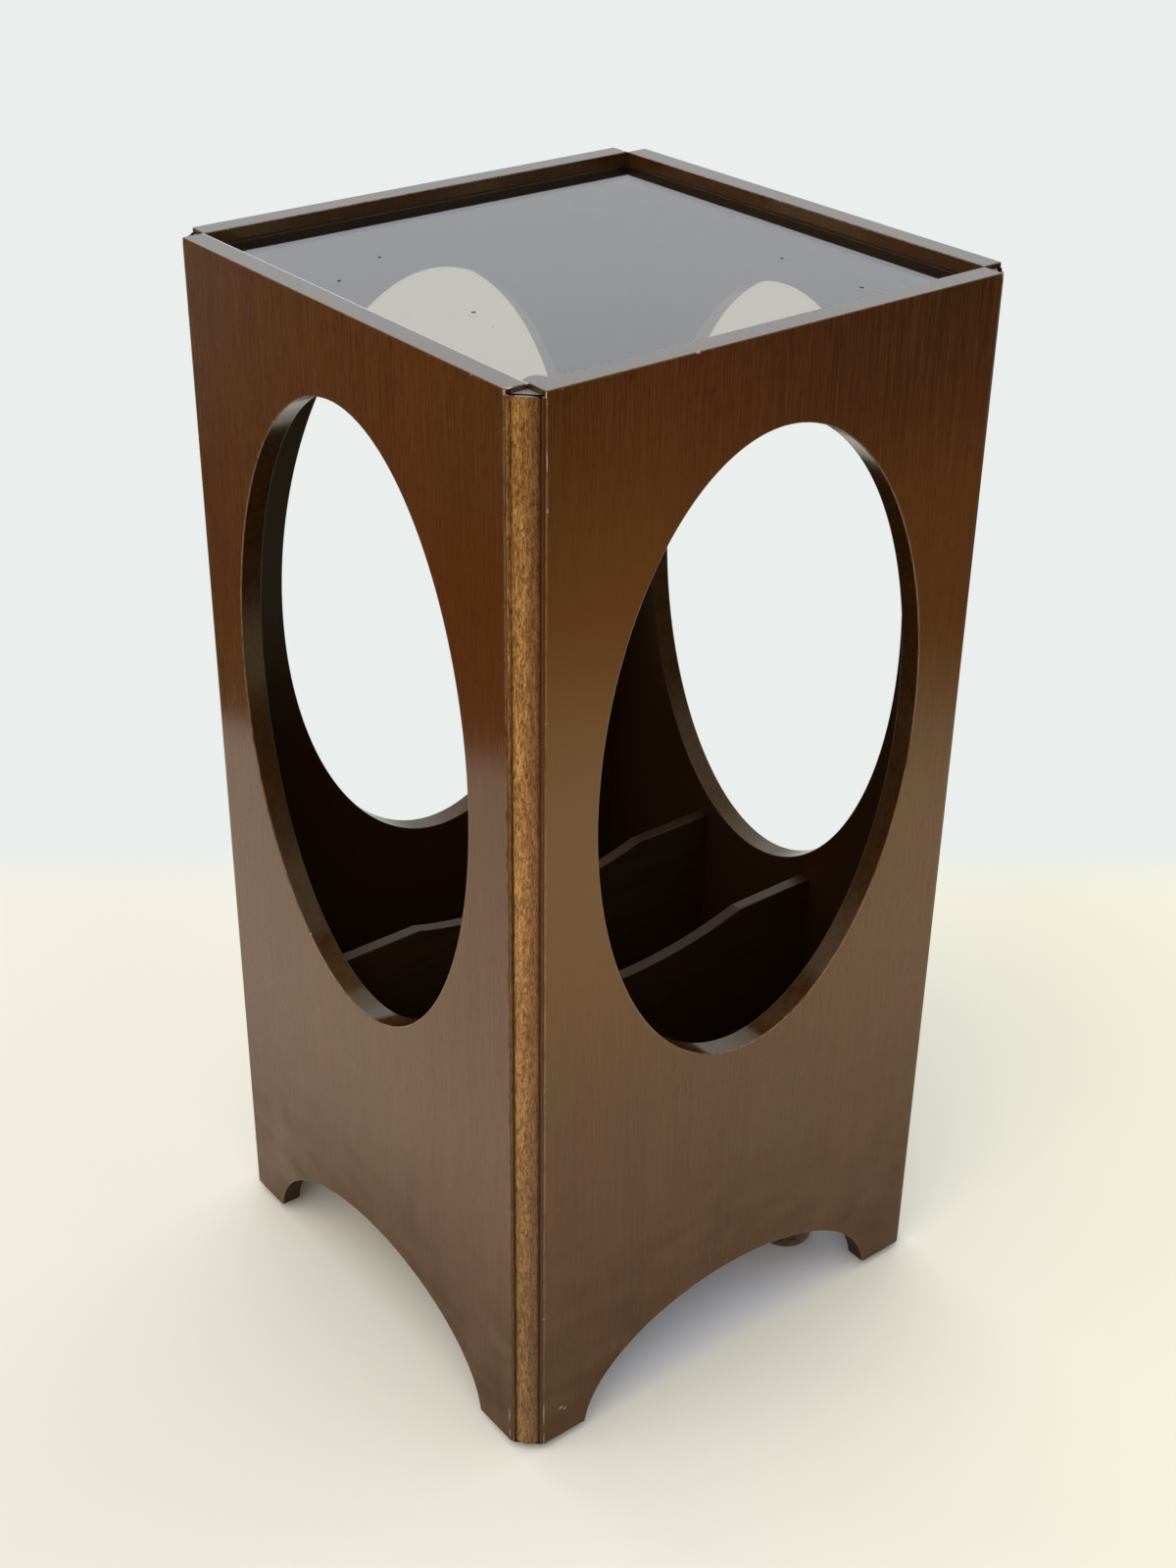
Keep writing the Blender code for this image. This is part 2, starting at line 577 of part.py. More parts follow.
def main():
    clear_scene()
    look = finishes()
    add_panels(look["panel"])
    add_shelf_and_dividers(look["inside"])
    add_glass(look["glass"])
    for name, (sign_x, sign_y, degrees) in CORNERS.items():
        add_corner(name, sign_x, sign_y, degrees, look)
    bpy.context.view_layer.update()


main()
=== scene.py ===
# %% [markdown]
# # A record rack side table
# The table is a square box of four veneered panels. Each panel has a large oval cut out of it and an arch
# at its foot, a moulded post fills each corner, and a smoked glass pane lies loose just below the rim. Two
# low dividers keep records upright inside, and castors hide behind the feet.
#
# The solids come from the packed CAD model. This lesson leaves them where they are and dresses them: boards
# get their softened edges and their grain, and the glass, plastic, rubber and metal get finishes of their
# own.

# %% The packed model
import json
import math

import bmesh
import bpy
from mathutils import Matrix, Vector


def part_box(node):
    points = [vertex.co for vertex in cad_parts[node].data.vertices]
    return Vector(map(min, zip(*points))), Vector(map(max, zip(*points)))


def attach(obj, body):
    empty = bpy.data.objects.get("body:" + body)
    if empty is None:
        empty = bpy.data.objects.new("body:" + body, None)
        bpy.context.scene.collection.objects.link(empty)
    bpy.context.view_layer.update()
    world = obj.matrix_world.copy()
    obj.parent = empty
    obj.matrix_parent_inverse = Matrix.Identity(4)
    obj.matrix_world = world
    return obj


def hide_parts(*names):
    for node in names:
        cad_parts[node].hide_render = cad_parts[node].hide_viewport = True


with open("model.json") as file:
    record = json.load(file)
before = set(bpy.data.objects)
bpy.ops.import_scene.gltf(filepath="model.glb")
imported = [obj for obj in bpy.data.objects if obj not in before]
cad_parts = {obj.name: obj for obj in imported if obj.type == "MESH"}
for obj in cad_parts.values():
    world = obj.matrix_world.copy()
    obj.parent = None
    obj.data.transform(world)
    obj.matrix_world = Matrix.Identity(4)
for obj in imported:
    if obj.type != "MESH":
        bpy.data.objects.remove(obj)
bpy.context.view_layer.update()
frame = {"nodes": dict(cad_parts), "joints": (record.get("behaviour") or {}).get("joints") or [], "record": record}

# %% [markdown]
# ## The camera
# A photograph holds its own camera: straight edges that are parallel in the room run to shared vanishing
# points, and those give the focal length and the place of the lens. Here that fit is written as a focal
# length in pixels, an optical centre and three angles. Blender measures lens shift in units of the image's
# longer side.

# %% The camera
IMAGE_WIDTH, IMAGE_HEIGHT = 1200, 1600
FOCAL_PIXELS = 2217.3
OPTICAL_CENTRE = (555.0, 798.0)
CAMERA_PLACE = Vector((-0.7750, -0.9879, 1.0998))
YAW = math.radians(52.96)
PITCH = math.radians(30.15)
ROLL = math.radians(-0.16)

away = Vector((math.cos(YAW), math.sin(YAW), 0))
forward = math.cos(PITCH) * away - math.sin(PITCH) * Vector((0, 0, 1))
level = Vector((math.sin(YAW), -math.cos(YAW), 0))
down = forward.cross(level)
camera_right = math.cos(ROLL) * level + math.sin(ROLL) * down
camera_up = math.sin(ROLL) * level - math.cos(ROLL) * down

camera = bpy.data.objects.new("camera", bpy.data.cameras.new("camera"))
bpy.context.scene.collection.objects.link(camera)
turn = Matrix((camera_right, camera_up, -forward)).transposed().to_4x4()
camera.matrix_world = Matrix.Translation(CAMERA_PLACE) @ turn
camera.data.lens = camera.data.sensor_width * FOCAL_PIXELS / IMAGE_HEIGHT
camera.data.shift_x = (IMAGE_WIDTH / 2 - OPTICAL_CENTRE[0]) / IMAGE_HEIGHT
camera.data.shift_y = (OPTICAL_CENTRE[1] - IMAGE_HEIGHT / 2) / IMAGE_HEIGHT
bpy.context.scene.camera = camera
bpy.context.scene.view_settings.view_transform = "Standard"
print(f"lens {camera.data.lens:.1f} mm, shift {camera.data.shift_x:.4f}")

# %% [markdown]
# ## Writing shaders as sums
# A finish is a graph of nodes. Wiring it by hand hides the idea, so a socket is wrapped here in a small
# class whose operators add Math nodes: `1 - mask` or `grain * 0.4 + bands` then reads as the formula that
# it is. Every other node comes from one method, which takes the node's type, its settings and its sockets.


# %% Sockets and node trees
class Socket:
    """An output in a node tree. Arithmetic on it adds Math nodes."""

    def __init__(self, nodes, output):
        self.nodes = nodes
        self.output = output

    def out(self, which):
        """Another output of the same node."""
        return Socket(self.nodes, self.output.node.outputs[which])

    def math(self, operation, *values):
        return self.nodes.add("ShaderNodeMath", {"operation": operation}, dict(enumerate(values)))

    def __add__(self, other):
        return self.math("ADD", self, other)

    def __radd__(self, other):
        return self.math("ADD", other, self)

    def __sub__(self, other):
        return self.math("SUBTRACT", self, other)

    def __rsub__(self, other):
        return self.math("SUBTRACT", other, self)

    def __mul__(self, other):
        return self.math("MULTIPLY", self, other)

    def __rmul__(self, other):
        return self.math("MULTIPLY", other, self)

    def __truediv__(self, other):
        return self.math("DIVIDE", self, other)

    def __rtruediv__(self, other):
        return self.math("DIVIDE", other, self)

    def __pow__(self, other):
        return self.math("POWER", self, other)

    def __abs__(self):
        return self.math("ABSOLUTE", self)

    def least(self, other):
        return self.math("MINIMUM", self, other)

    def most(self, other):
        return self.math("MAXIMUM", self, other)


class Nodes:
    """A node tree that is filled one node at a time."""

    def __init__(self, tree):
        self.tree = tree
        self.tree.nodes.clear()

    def add(self, kind, settings=None, sockets=None):
        node = self.tree.nodes.new(kind)
        for name, value in (settings or {}).items():
            setattr(node, name, value)
        for name, value in (sockets or {}).items():
            if isinstance(value, Socket):
                self.tree.links.new(value.output, node.inputs[name])
            else:
                node.inputs[name].default_value = value
        return Socket(self, node.outputs[0]) if node.outputs else None

    def mixed(self, factor, first, second, blend="MIX"):
        """Two colours, blended. A Mix node takes its colours at sockets 6 and 7 and gives one at 2."""
        settings = {"data_type": "RGBA", "blend_type": blend}
        return self.add("ShaderNodeMix", settings, {0: factor, 6: first, 7: second}).out(2)

    def step(self, value, low, high):
        """Rises smoothly from 0 where the value is low to 1 where it is high."""
        settings = {"interpolation_type": "SMOOTHSTEP"}
        return self.add("ShaderNodeMapRange", settings, {"Value": value, "From Min": low, "From Max": high})


def srgb(red, green, blue):
    """Linear colour of an 8-bit screen colour."""
    parts = [((part / 255 + 0.055) / 1.055) ** 2.4 for part in (red, green, blue)]
    return (*parts, 1.0)


print("a socket knows", len([name for name in vars(Socket) if name.startswith("__r")]), "reflected operators")

# %% [markdown]
# ## Finishes start alike
# Each finish is a Principled shader whose colour, roughness and bump come from noise in the piece's own
# coordinates. A piece keeps its place in its vertices, so these coordinates are the room's at rest and stay
# with the piece when it moves. Numbers that are the same all over a surface are set on the shader itself.


# %% A finish
class Finish(Nodes):
    """A material in the making. Most are closed by one Principled shader."""

    def __init__(self, name):
        self.material = bpy.data.materials.new(name)
        self.material.use_nodes = True
        super().__init__(self.material.node_tree)
        self.place = self.add("ShaderNodeTexCoord").out("Object")

    def axes(self):
        parts = self.add("ShaderNodeSeparateXYZ", {}, {"Vector": self.place})
        return parts.out("X"), parts.out("Y"), parts.out("Z")

    def noise(self, stretch, detail=2.0, roughness=0.5, distortion=0.0):
        """Noise with so many lumps a metre along x, y and z."""
        scaled = self.add("ShaderNodeVectorMath", {"operation": "MULTIPLY"}, {0: self.place, 1: stretch})
        sockets = {"Vector": scaled, "Scale": 1.0, "Detail": detail, "Roughness": roughness}
        sockets["Distortion"] = distortion
        return self.add("ShaderNodeTexNoise", {}, sockets)

    def bump(self, height, depth):
        return self.add("ShaderNodeBump", {}, {"Height": height, "Distance": depth})

    def tinted(self, colour, mask, tint):
        """The colour with a tint over it where the mask is high. A tint is a strength and a colour."""
        strength, shade = tint
        return self.mixed(mask * strength, colour, shade)

    def surface(self, film=None, **sockets):
        """The finished material. A film of grime and painted shade dulls it where its mask is high."""
        named = {name.replace("_", " "): value for name, value in sockets.items()}
        shader = self.add("ShaderNodeBsdfPrincipled", {}, named)
        if film:
            dirt_and_shade = self.add("ShaderNodeBsdfDiffuse", {}, {"Color": DIRT_AND_SHADE_COLOUR})
            shader = self.add("ShaderNodeMixShader", {}, {0: film, 1: shader, 2: dirt_and_shade})
        self.add("ShaderNodeOutputMaterial", {}, {"Surface": shader})
        return self.material


# Colour of a dull film that is partly grime and partly painted shade.
DIRT_AND_SHADE_COLOUR = srgb(58, 41, 29)
print("finishes ready")

# %% [markdown]
# ## Panel veneer
# The panels are board with a thin veneer, stained dark brown under an amber lacquer. The grain runs
# upright: hair-fine streaks, flecks, pores and faint bands, which are noises stretched along Z. Broader
# noises give patches that lean to red or to olive. The front panel is redder higher up and deeper at its
# far top corner. A painted sheen, a painted reflection, lightens the front panel at middle height, most
# near the post, and a painted warm glow lies on the left panel beside the near post. Near the floor a dull
# film lies on the lacquer, partly grime and partly painted shade. The inner faces get painted shade, most
# below the glass, and are duller there.
#
# The arrises are rubbed pale, so the shader works out how far a point lies from the nearest one. On any of
# the four panels the smaller of |x| and |y| runs along the board and the larger one through it. Few chips
# are deep enough to be seen, and these are placed one by one. A painted highlight, a pale line, lies on the
# inner edge of the left panel's rim. The edges of the boards are lipped and drank more stain, so they get
# darker finishes: the rim mirrors strongly, and the cut-outs are smoother under a thinner lacquer. Low
# down by the arch a film of grime and painted shade dulls the edges.

# %% Sizes of the panels
panel_low, panel_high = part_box("front_panel")
RIM = panel_high.z
PANEL_BOTTOM = panel_low.z
PANEL_END = panel_high.x
OUTER_FACE = -panel_low.y
INNER_FACE = -panel_high.y
OVAL_HALF_WIDTH = 0.125
OVAL_HALF_HEIGHT = 0.208
OVAL_ABOVE_FOOT = 0.462
OVAL_MIDDLE = PANEL_BOTTOM + OVAL_ABOVE_FOOT
FOOT_WIDTH = 0.050
HOUSING_LIP = 0.0013
ARCH_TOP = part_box("base_shelf")[0].z - HOUSING_LIP
ARCH_START = math.asin(PANEL_BOTTOM / ARCH_TOP)
ARCH_REACH = (OUTER_FACE - FOOT_WIDTH) / math.cos(ARCH_START)
print(f"panels {1000 * (RIM - PANEL_BOTTOM):.0f} mm tall, {1000 * (OUTER_FACE - INNER_FACE):.0f} mm thick")

# %% Chips and a dark mark
# Each has its centre and its reach along x, y and z.
CHIPS = (
    ((-0.1773, -0.1622, 0.7292), (0.0010, 0.0009, 0.0022)),
    ((-0.1740, -0.1623, 0.7309), (0.0030, 0.0007, 0.0007)),
    ((-0.1625, -0.1773, 0.7290), (0.0007, 0.0009, 0.0024)),
    ((-0.0646, -0.1774, 0.7306), (0.0014, 0.0008, 0.0007)),
    ((-0.1774, -0.1607, 0.0296), (0.0011, 0.0010, 0.0062)),
    ((-0.1774, -0.1610, 0.0130), (0.0009, 0.0008, 0.0030)),
    ((-0.1620, -0.1774, 0.0330), (0.0004, 0.0006, 0.0110)),
    ((-0.1619, -0.1774, 0.0110), (0.0004, 0.0006, 0.0060)),
    ((-0.1619, -0.1774, 0.6940), (0.0004, 0.0005, 0.0060)),
    ((-0.1480, -0.1775, 0.0312), (0.0019, 0.0008, 0.0010)),
    ((-0.1450, -0.1775, 0.0287), (0.0017, 0.0008, 0.0009)),
    ((0.1613, 0.1657, 0.7312), (0.0010, 0.0016, 0.0006)),
)
MARK = ((-0.1775, 0.1203, 0.7222), (0.0020, 0.0013, 0.0034))


def spot(look, centre, reach):
    """0 in the middle of an oval spot and 1 at its edge."""
    gap = look.add("ShaderNodeVectorMath", {"operation": "SUBTRACT"}, {0: look.place, 1: centre})
    gap = look.add("ShaderNodeVectorMath", {"operation": "DIVIDE"}, {0: gap, 1: reach})
    return look.add("ShaderNodeVectorMath", {"operation": "LENGTH"}, {0: gap}).out("Value")


print(len(CHIPS), "chips placed")

# %% Distance to an arris
ARRIS = 0.0008


def distance_to_ellipse(along, z, middle, half_width, half_height):
    """Metres from a point to an ellipse, true enough where it is small."""
    across = along / half_width
    upward = (z - middle) / half_height
    reach = (across * across + upward * upward) ** 0.5
    slope = ((across / half_width) ** 2 + (upward / half_height) ** 2) ** 0.5
    return abs(reach * (reach - 1) / slope)


def distance_to_arris(look):
    """Metres from a point on a panel to the nearest edge that hands and records rub against."""
    x, y, z = look.axes()
    along = abs(x).least(abs(y))
    through = abs(x).most(abs(y))
    outside = abs(OUTER_FACE - through)
    oval = distance_to_ellipse(along, z, OVAL_MIDDLE, OVAL_HALF_WIDTH, OVAL_HALF_HEIGHT)
    arch = distance_to_ellipse(along, z, 0.0, ARCH_REACH, ARCH_TOP)
    cuts = oval.least(arch).least(abs(RIM - z)).least(abs(z - PANEL_BOTTOM))
    outer_edges = outside.most(cuts.least(abs(PANEL_END - along)))
    return outer_edges.least(abs(through - INNER_FACE).most(abs(RIM - z)))


print(f"arrises are rounded by {1000 * ARRIS:.1f} mm")

# %% Wear and a painted highlight
RUBBED_COLOUR = srgb(158, 130, 98)
RUBBED_REACH = (0.0011, 0.0004)
RIM_RUBBED = 0.12
RIM_DEPTH = (0.002, 0.004)
INSIDE_RUBBED = 0.7
INSIDE_DEPTH = (0.0030, 0.0015)
PAINTED_RIM_HIGHLIGHT = (0.5, srgb(226, 222, 214))
RIM_HIGHLIGHT_START = (0.0, 0.0004)
RIM_HIGHLIGHT_END = (0.0018, 0.0011)
RIM_HIGHLIGHT_DEPTH = (0.0012, 0.0004)
CRUMBS_REACH = (0.0013, 0.0008)
CHIPPED = (0.9, srgb(192, 176, 148))
CHIP_EDGE = (1.0, 0.75)
BITE = 1.4


def worn_and_highlit(look, colour, pale):
    """Colour with rubbed arrises, chips and a painted highlight on the left rim, and the mask of the chips."""
    arris = distance_to_arris(look)
    x, y, z = look.axes()
    depth = RIM - z
    ragged = look.noise((240, 240, 90), detail=4.0, roughness=0.65)
    rubbed = look.step(arris, *RUBBED_REACH) * look.step(ragged, 0.30, 0.58)
    inside = look.step(abs(x).most(abs(y)) - INNER_FACE, *INSIDE_DEPTH)
    lower = RIM_RUBBED + look.step(depth, *RIM_DEPTH) * (1 - RIM_RUBBED)
    rubbed = rubbed * lower.most(inside * INSIDE_RUBBED)
    colour = look.tinted(colour, rubbed, (pale, RUBBED_COLOUR))
    # Painted highlight: a pale line on the inner edge of the left panel's rim, where the arris catches light.
    into_left = -INNER_FACE - x
    rim_highlight = look.step(into_left, *RIM_HIGHLIGHT_START) * look.step(into_left, *RIM_HIGHLIGHT_END)
    colour = look.tinted(colour, rim_highlight * look.step(depth, *RIM_HIGHLIGHT_DEPTH), PAINTED_RIM_HIGHLIGHT)
    crumbs = look.noise((420, 420, 260), detail=3.0, roughness=0.6)
    chipped = look.step(crumbs, 0.69, 0.72) * look.step(arris, *CRUMBS_REACH)
    bite = (look.noise((1100, 1100, 500)) - 0.5) * BITE
    for centre, reach in CHIPS:
        chipped = chipped.most(look.step(spot(look, centre, reach) + bite, *CHIP_EDGE))
    return look.tinted(colour, chipped, CHIPPED), chipped


print(f"rubbing reaches {1000 * RUBBED_REACH[0]:.1f} mm from an arris")

# %% Stain
FACE_DEPTH = (0.0075, 0.0015)
STAIN = (srgb(91, 49, 19), srgb(103, 58, 23))
RED_PATCH = (0.4, srgb(102, 48, 16))
OLIVE_PATCH = (0.45, srgb(94, 61, 20))
REDDER = (0.5, srgb(102, 50, 34))
REDDER_HEIGHT = (0.48, 0.66)
REDDER_ALONG = (-0.17, -0.06)
DEEPER = (0.65, srgb(60, 32, 14))
DEEPER_HEIGHT = (0.60, 0.68)
DEEPER_ALONG = (-0.10, 0.10)


def on_face(look, coordinate):
    """1 on the outer face of the panel that lies on the low side of an axis."""
    return look.step(coordinate + OUTER_FACE, *FACE_DEPTH)


def stained(look):
    """Colour of the veneer without its figure."""
    x, y, z = look.axes()
    front = on_face(look, y)
    bands = look.noise((70, 70, 1.2), detail=3.0, roughness=0.55, distortion=0.3)
    patches = look.noise((8, 8, 3))
    olive = look.noise((16, 16, 5))
    colour = look.mixed(look.step(bands, 0.25, 0.75), *STAIN)
    colour = look.tinted(colour, look.step(patches, 0.4, 0.62), RED_PATCH)
    colour = look.tinted(colour, look.step(olive, 0.48, 0.64), OLIVE_PATCH)
    redder = front * look.step(z, *REDDER_HEIGHT) * look.step(x, *REDDER_ALONG)
    colour = look.tinted(colour, redder, REDDER)
    deeper = front * look.step(z, *DEEPER_HEIGHT) * look.step(x, *DEEPER_ALONG)
    return look.tinted(colour, deeper, DEEPER)


print(f"the front panel is redder above {1000 * REDDER_HEIGHT[0]:.0f} mm")

# %% Painted sheen and glow, a mark, and a film of grime and painted shade
# Painted sheen on the front panel and painted warm glow on the left panel, both painted light.
PAINTED_SHEEN_COLOUR = srgb(130, 82, 36)
SHEEN_LEAST = 0.3
SHEEN_MORE = 0.6
SHEEN_HEIGHT = ((0.24, 0.46), (0.76, 0.56))
SHEEN_ALONG = (0.06, -0.13)
PAINTED_GLOW = (0.55, srgb(100, 49, 2))
GLOW_HEIGHT = ((0.38, 0.48), (0.72, 0.60))
GLOW_ALONG = (-0.02, -0.14)
MARKED = (0.6, srgb(30, 16, 9))
MARK_EDGE = (1.1, 0.4)
# A film that is partly grime and partly painted shade: near the floor the lacquer is dulled and darkened.
FILM_LEAST = 0.30
FILM_CLOUDS = 0.6
FILM_TOP = 0.25
FRONT_FILM_HIGHER = 0.07
FRONT_FILM_LOWER = -0.05
FILM_THINNER = 0.22
FILM_THINNER_ALONG = (0.02, 0.14)


def between(look, value, rise, fall):
    """1 where a value is past its rise and not yet at its fall."""
    return look.step(value, *rise) * look.step(value, *fall)


def sheen_glow_and_mark(look, colour):
    """Colour with a painted sheen on the front panel and a painted glow on the left one, and the dark mark."""
    x, y, z = look.axes()
    # Painted sheen: a reflection painted onto the front panel at middle height, strongest near the post.
    sheen = between(look, z, *SHEEN_HEIGHT) * on_face(look, y)
    sheen = sheen * (SHEEN_LEAST + look.step(x, *SHEEN_ALONG) * SHEEN_MORE)
    colour = look.mixed(sheen, colour, PAINTED_SHEEN_COLOUR)
    # Painted glow: warm light painted onto the left panel beside the near post, at middle height.
    glow = look.step(y, *GLOW_ALONG) * between(look, z, *GLOW_HEIGHT)
    colour = look.tinted(colour, on_face(look, x) * glow, PAINTED_GLOW)
    return look.tinted(colour, look.step(spot(look, *MARK), *MARK_EDGE), MARKED)


def dirt_and_shade_mask(look):
    """Mask of a film of grime and painted shade, higher on the front panel and thinner towards the back."""
    y, z = look.axes()[1:]
    front = on_face(look, y)
    thick = FILM_LEAST + look.noise((30, 30, 60), detail=3.0) * FILM_CLOUDS
    thick = thick - look.step(y, *FILM_THINNER_ALONG) * FILM_THINNER
    return look.step(z, FILM_TOP + front * FRONT_FILM_HIGHER, front * FRONT_FILM_LOWER) * thick


# The film is partly grime and partly painted shade.
print(f"dirt reaches {1000 * (FILM_TOP + FRONT_FILM_HIGHER):.0f} mm up the front panel")

# %% The veneer
HAIR_COLOUR = srgb(127, 81, 34)
FLECK_COLOUR = srgb(62, 32, 13)
PORES = (0.5, srgb(48, 26, 8))
FIGURE_LEAST = 0.28
FIGURE_MORE = 0.17
FIGURE_HEIGHT = (0.12, 0.50)
INNER_SHADE_COLOUR = srgb(32, 17, 8)
INNER_SHADE_ABOVE_GLASS = 0.62
INNER_SHADE_BELOW_GLASS = 0.92
INNER_SHADE_BACK = 0.10
BACK_PANEL = (0.150, 0.160)
INNER_SKIN = (0.0012, 0.0004)
GLASS_LINE = (0.012, 0.016)
VENEER_RUBBED = 0.47
VENEER_AMBER = (1.0, 0.93, 0.68, 1.0)
VENEER_RELIEF = 0.000016


def panel_veneer():
    look = Finish("panel_veneer")
    x, y, z = look.axes()
    hairs = look.noise((1500, 1500, 18), detail=3.0, roughness=0.65)
    flecks = look.noise((1200, 1200, 90), roughness=0.6)
    pores = look.step(look.noise((1700, 1700, 60), detail=1.0), 0.64, 0.74)
    clear = FIGURE_LEAST + look.step(z, *FIGURE_HEIGHT) * FIGURE_MORE
    colour = look.mixed(look.step(hairs, 0.42, 0.62) * clear, stained(look), HAIR_COLOUR)
    colour = look.mixed(look.step(flecks, 0.46, 0.66) * clear, colour, FLECK_COLOUR)
    colour = sheen_glow_and_mark(look, look.tinted(colour, pores, PORES))
    # Painted shade: the inner faces are darkened, most below the glass and on the back panel.
    inner = look.step(abs(x).most(abs(y)) - INNER_FACE, *INNER_SKIN)
    below_glass = look.step(RIM - z, *GLASS_LINE)
    inner_shade = INNER_SHADE_ABOVE_GLASS + look.step(y, *BACK_PANEL) * INNER_SHADE_BACK
    inner_shade = inner_shade.most(below_glass * INNER_SHADE_BELOW_GLASS)
    colour = look.mixed(inner * inner_shade, colour, INNER_SHADE_COLOUR)
    colour, chipped = worn_and_highlit(look, colour, VENEER_RUBBED)
    dull = inner * below_glass * 0.24 + chipped * 0.3
    polish = 0.08 + look.noise((40, 40, 8), detail=3.0) * 0.06 + dull
    bump = look.bump(hairs * 0.6 - pores - chipped * 4, VENEER_RELIEF)
    glossy = {"Roughness": polish, "IOR": 1.5, "Specular_Tint": VENEER_AMBER}
    return look.surface(dirt_and_shade_mask(look), Base_Color=colour, Normal=bump, **glossy)


veneer = panel_veneer()
print("panel veneer has", len(veneer.node_tree.nodes), "nodes")

# %% The lipping
LIPPING_STAIN = (0.4, srgb(76, 47, 24))
LIPPING_RUBBED = 0.35
LIPPING_RELIEF = 0.000010
ARCH_FILM = 0.85
ARCH_FILM_REACH = 0.03
RIM_BROWNS = (srgb(44, 25, 11), srgb(64, 38, 18))
RIM_LACQUER = {"IOR": 1.97, "Specular_Tint": (0.98, 0.98, 0.86, 1.0)}
RIM_POLISH = 0.24
CUT_BROWNS = (srgb(50, 30, 13), srgb(64, 39, 18))
CUT_LACQUER = {"IOR": 1.40, "Specular_Tint": (1.0, 0.82, 0.50, 1.0)}
CUT_POLISH = 0.13


def panel_lipping(name, browns, lacquer, polish):
    look = Finish(name)
    z = look.axes()[2]
    grain = look.noise((260, 260, 260), distortion=0.6)
    stain = look.noise((26, 26, 26), detail=3.0, roughness=0.6)
    colour = look.mixed(look.step(grain, 0.3, 0.7), *browns)
    colour = look.tinted(colour, look.step(stain, 0.4, 0.7), LIPPING_STAIN)
    colour, chipped = worn_and_highlit(look, colour, LIPPING_RUBBED)
    polish = polish + grain * 0.06 + chipped * 0.3
    bump = look.bump(grain * 0.3 - chipped * 6, LIPPING_RELIEF)
    # Film of grime and painted shade on the edges below the top of the arch, fading out a little above it.
    film = look.step(z, ARCH_TOP + ARCH_FILM_REACH, ARCH_TOP) * ARCH_FILM
    return look.surface(film, Base_Color=colour, Normal=bump, Roughness=polish, **lacquer)


lipping = panel_lipping("panel_lipping", RIM_BROWNS, RIM_LACQUER, RIM_POLISH)
cut_edge = panel_lipping("panel_cut_edge", CUT_BROWNS, CUT_LACQUER, CUT_POLISH)
print("lipping has", len(lipping.node_tree.nodes), "nodes")

# %% [markdown]
# ## Corner post wood
# The posts are solid and lighter than the panels, a golden brown with a lively, wavy figure and open pores:
# short dark dashes that follow the grain. Painted shade darkens the quirks, the narrow grooves where a post
# meets the panels. There either |x| or |y| is that of the panels' inner face, so the shader darkens by that
# distance, and more so towards the front and back panels, on the side of the post that is painted as in
# shade. Higher up, the lit side towards the left or right panel gets less of this painted shade. Painted
# shade also darkens the foot and the head of a post. The end of a post is sealed, and its grey is a painted
# reflection.

# %% The post wood
post_low, post_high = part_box("front_left_post")
POST_BROWNS = (srgb(158, 100, 46), srgb(216, 158, 86))
POST_STREAKS = (0.5, srgb(222, 166, 96))
POST_RIPPLES = (0.74, srgb(92, 48, 19))
POST_PORES = (0.75, srgb(50, 27, 12))
POST_AMBER = (1.0, 0.94, 0.74, 1.0)
POST_RELIEF = 0.00010
POST_TONE = 1.16
FOOT_SHADE = 0.66
FOOT_HEIGHT = (0.52, 0.06)
HEAD_SHADE = 0.18
HEAD_HEIGHT = (0.50, 0.70)
END_REFLECTION = (0.9, srgb(134, 126, 118))
END_DEPTH = (0.0007, 0.0003)
print(f"a post is {1000 * (post_high.z - post_low.z):.0f} mm long")

# %% Painted shade on the posts
LIT_SIDE = 0.8
LIT_SIDE_HEIGHT = (0.44, 0.62)
LIT_SIDE_REACH = (0.0102, 0.0110)
FILLET_SHADE = srgb(72, 37, 17)
FILLET_FRONT = 0.6
FILLET_SIDE = 0.3
FILLET_EDGE = (0.0119, 0.0124)
QUIRK_SHADE = (0.45, srgb(66, 32, 13))
QUIRK_SHADE_REACH = (0.0017, 0.0008)
QUIRK_SHADOW_LINE = (0.8, srgb(26, 14, 7))
QUIRK_SHADOW_LINE_REACH = (0.0008, 0.0004)
FRONT_SIDE_SHADE = (0.55, srgb(112, 66, 36))
FRONT_SIDE_SHADE_REACH = (0.0102, 0.0050)
FRONT_SEAM_SHADE = (0.60, srgb(84, 36, 16))
FRONT_SEAM_SHADE_REACH = (0.0044, 0.0004)
SIDE_SEAM_SHADE = (0.34, srgb(86, 40, 16))
SIDE_SEAM_SHADE_REACH = (0.0028, 0.0006)


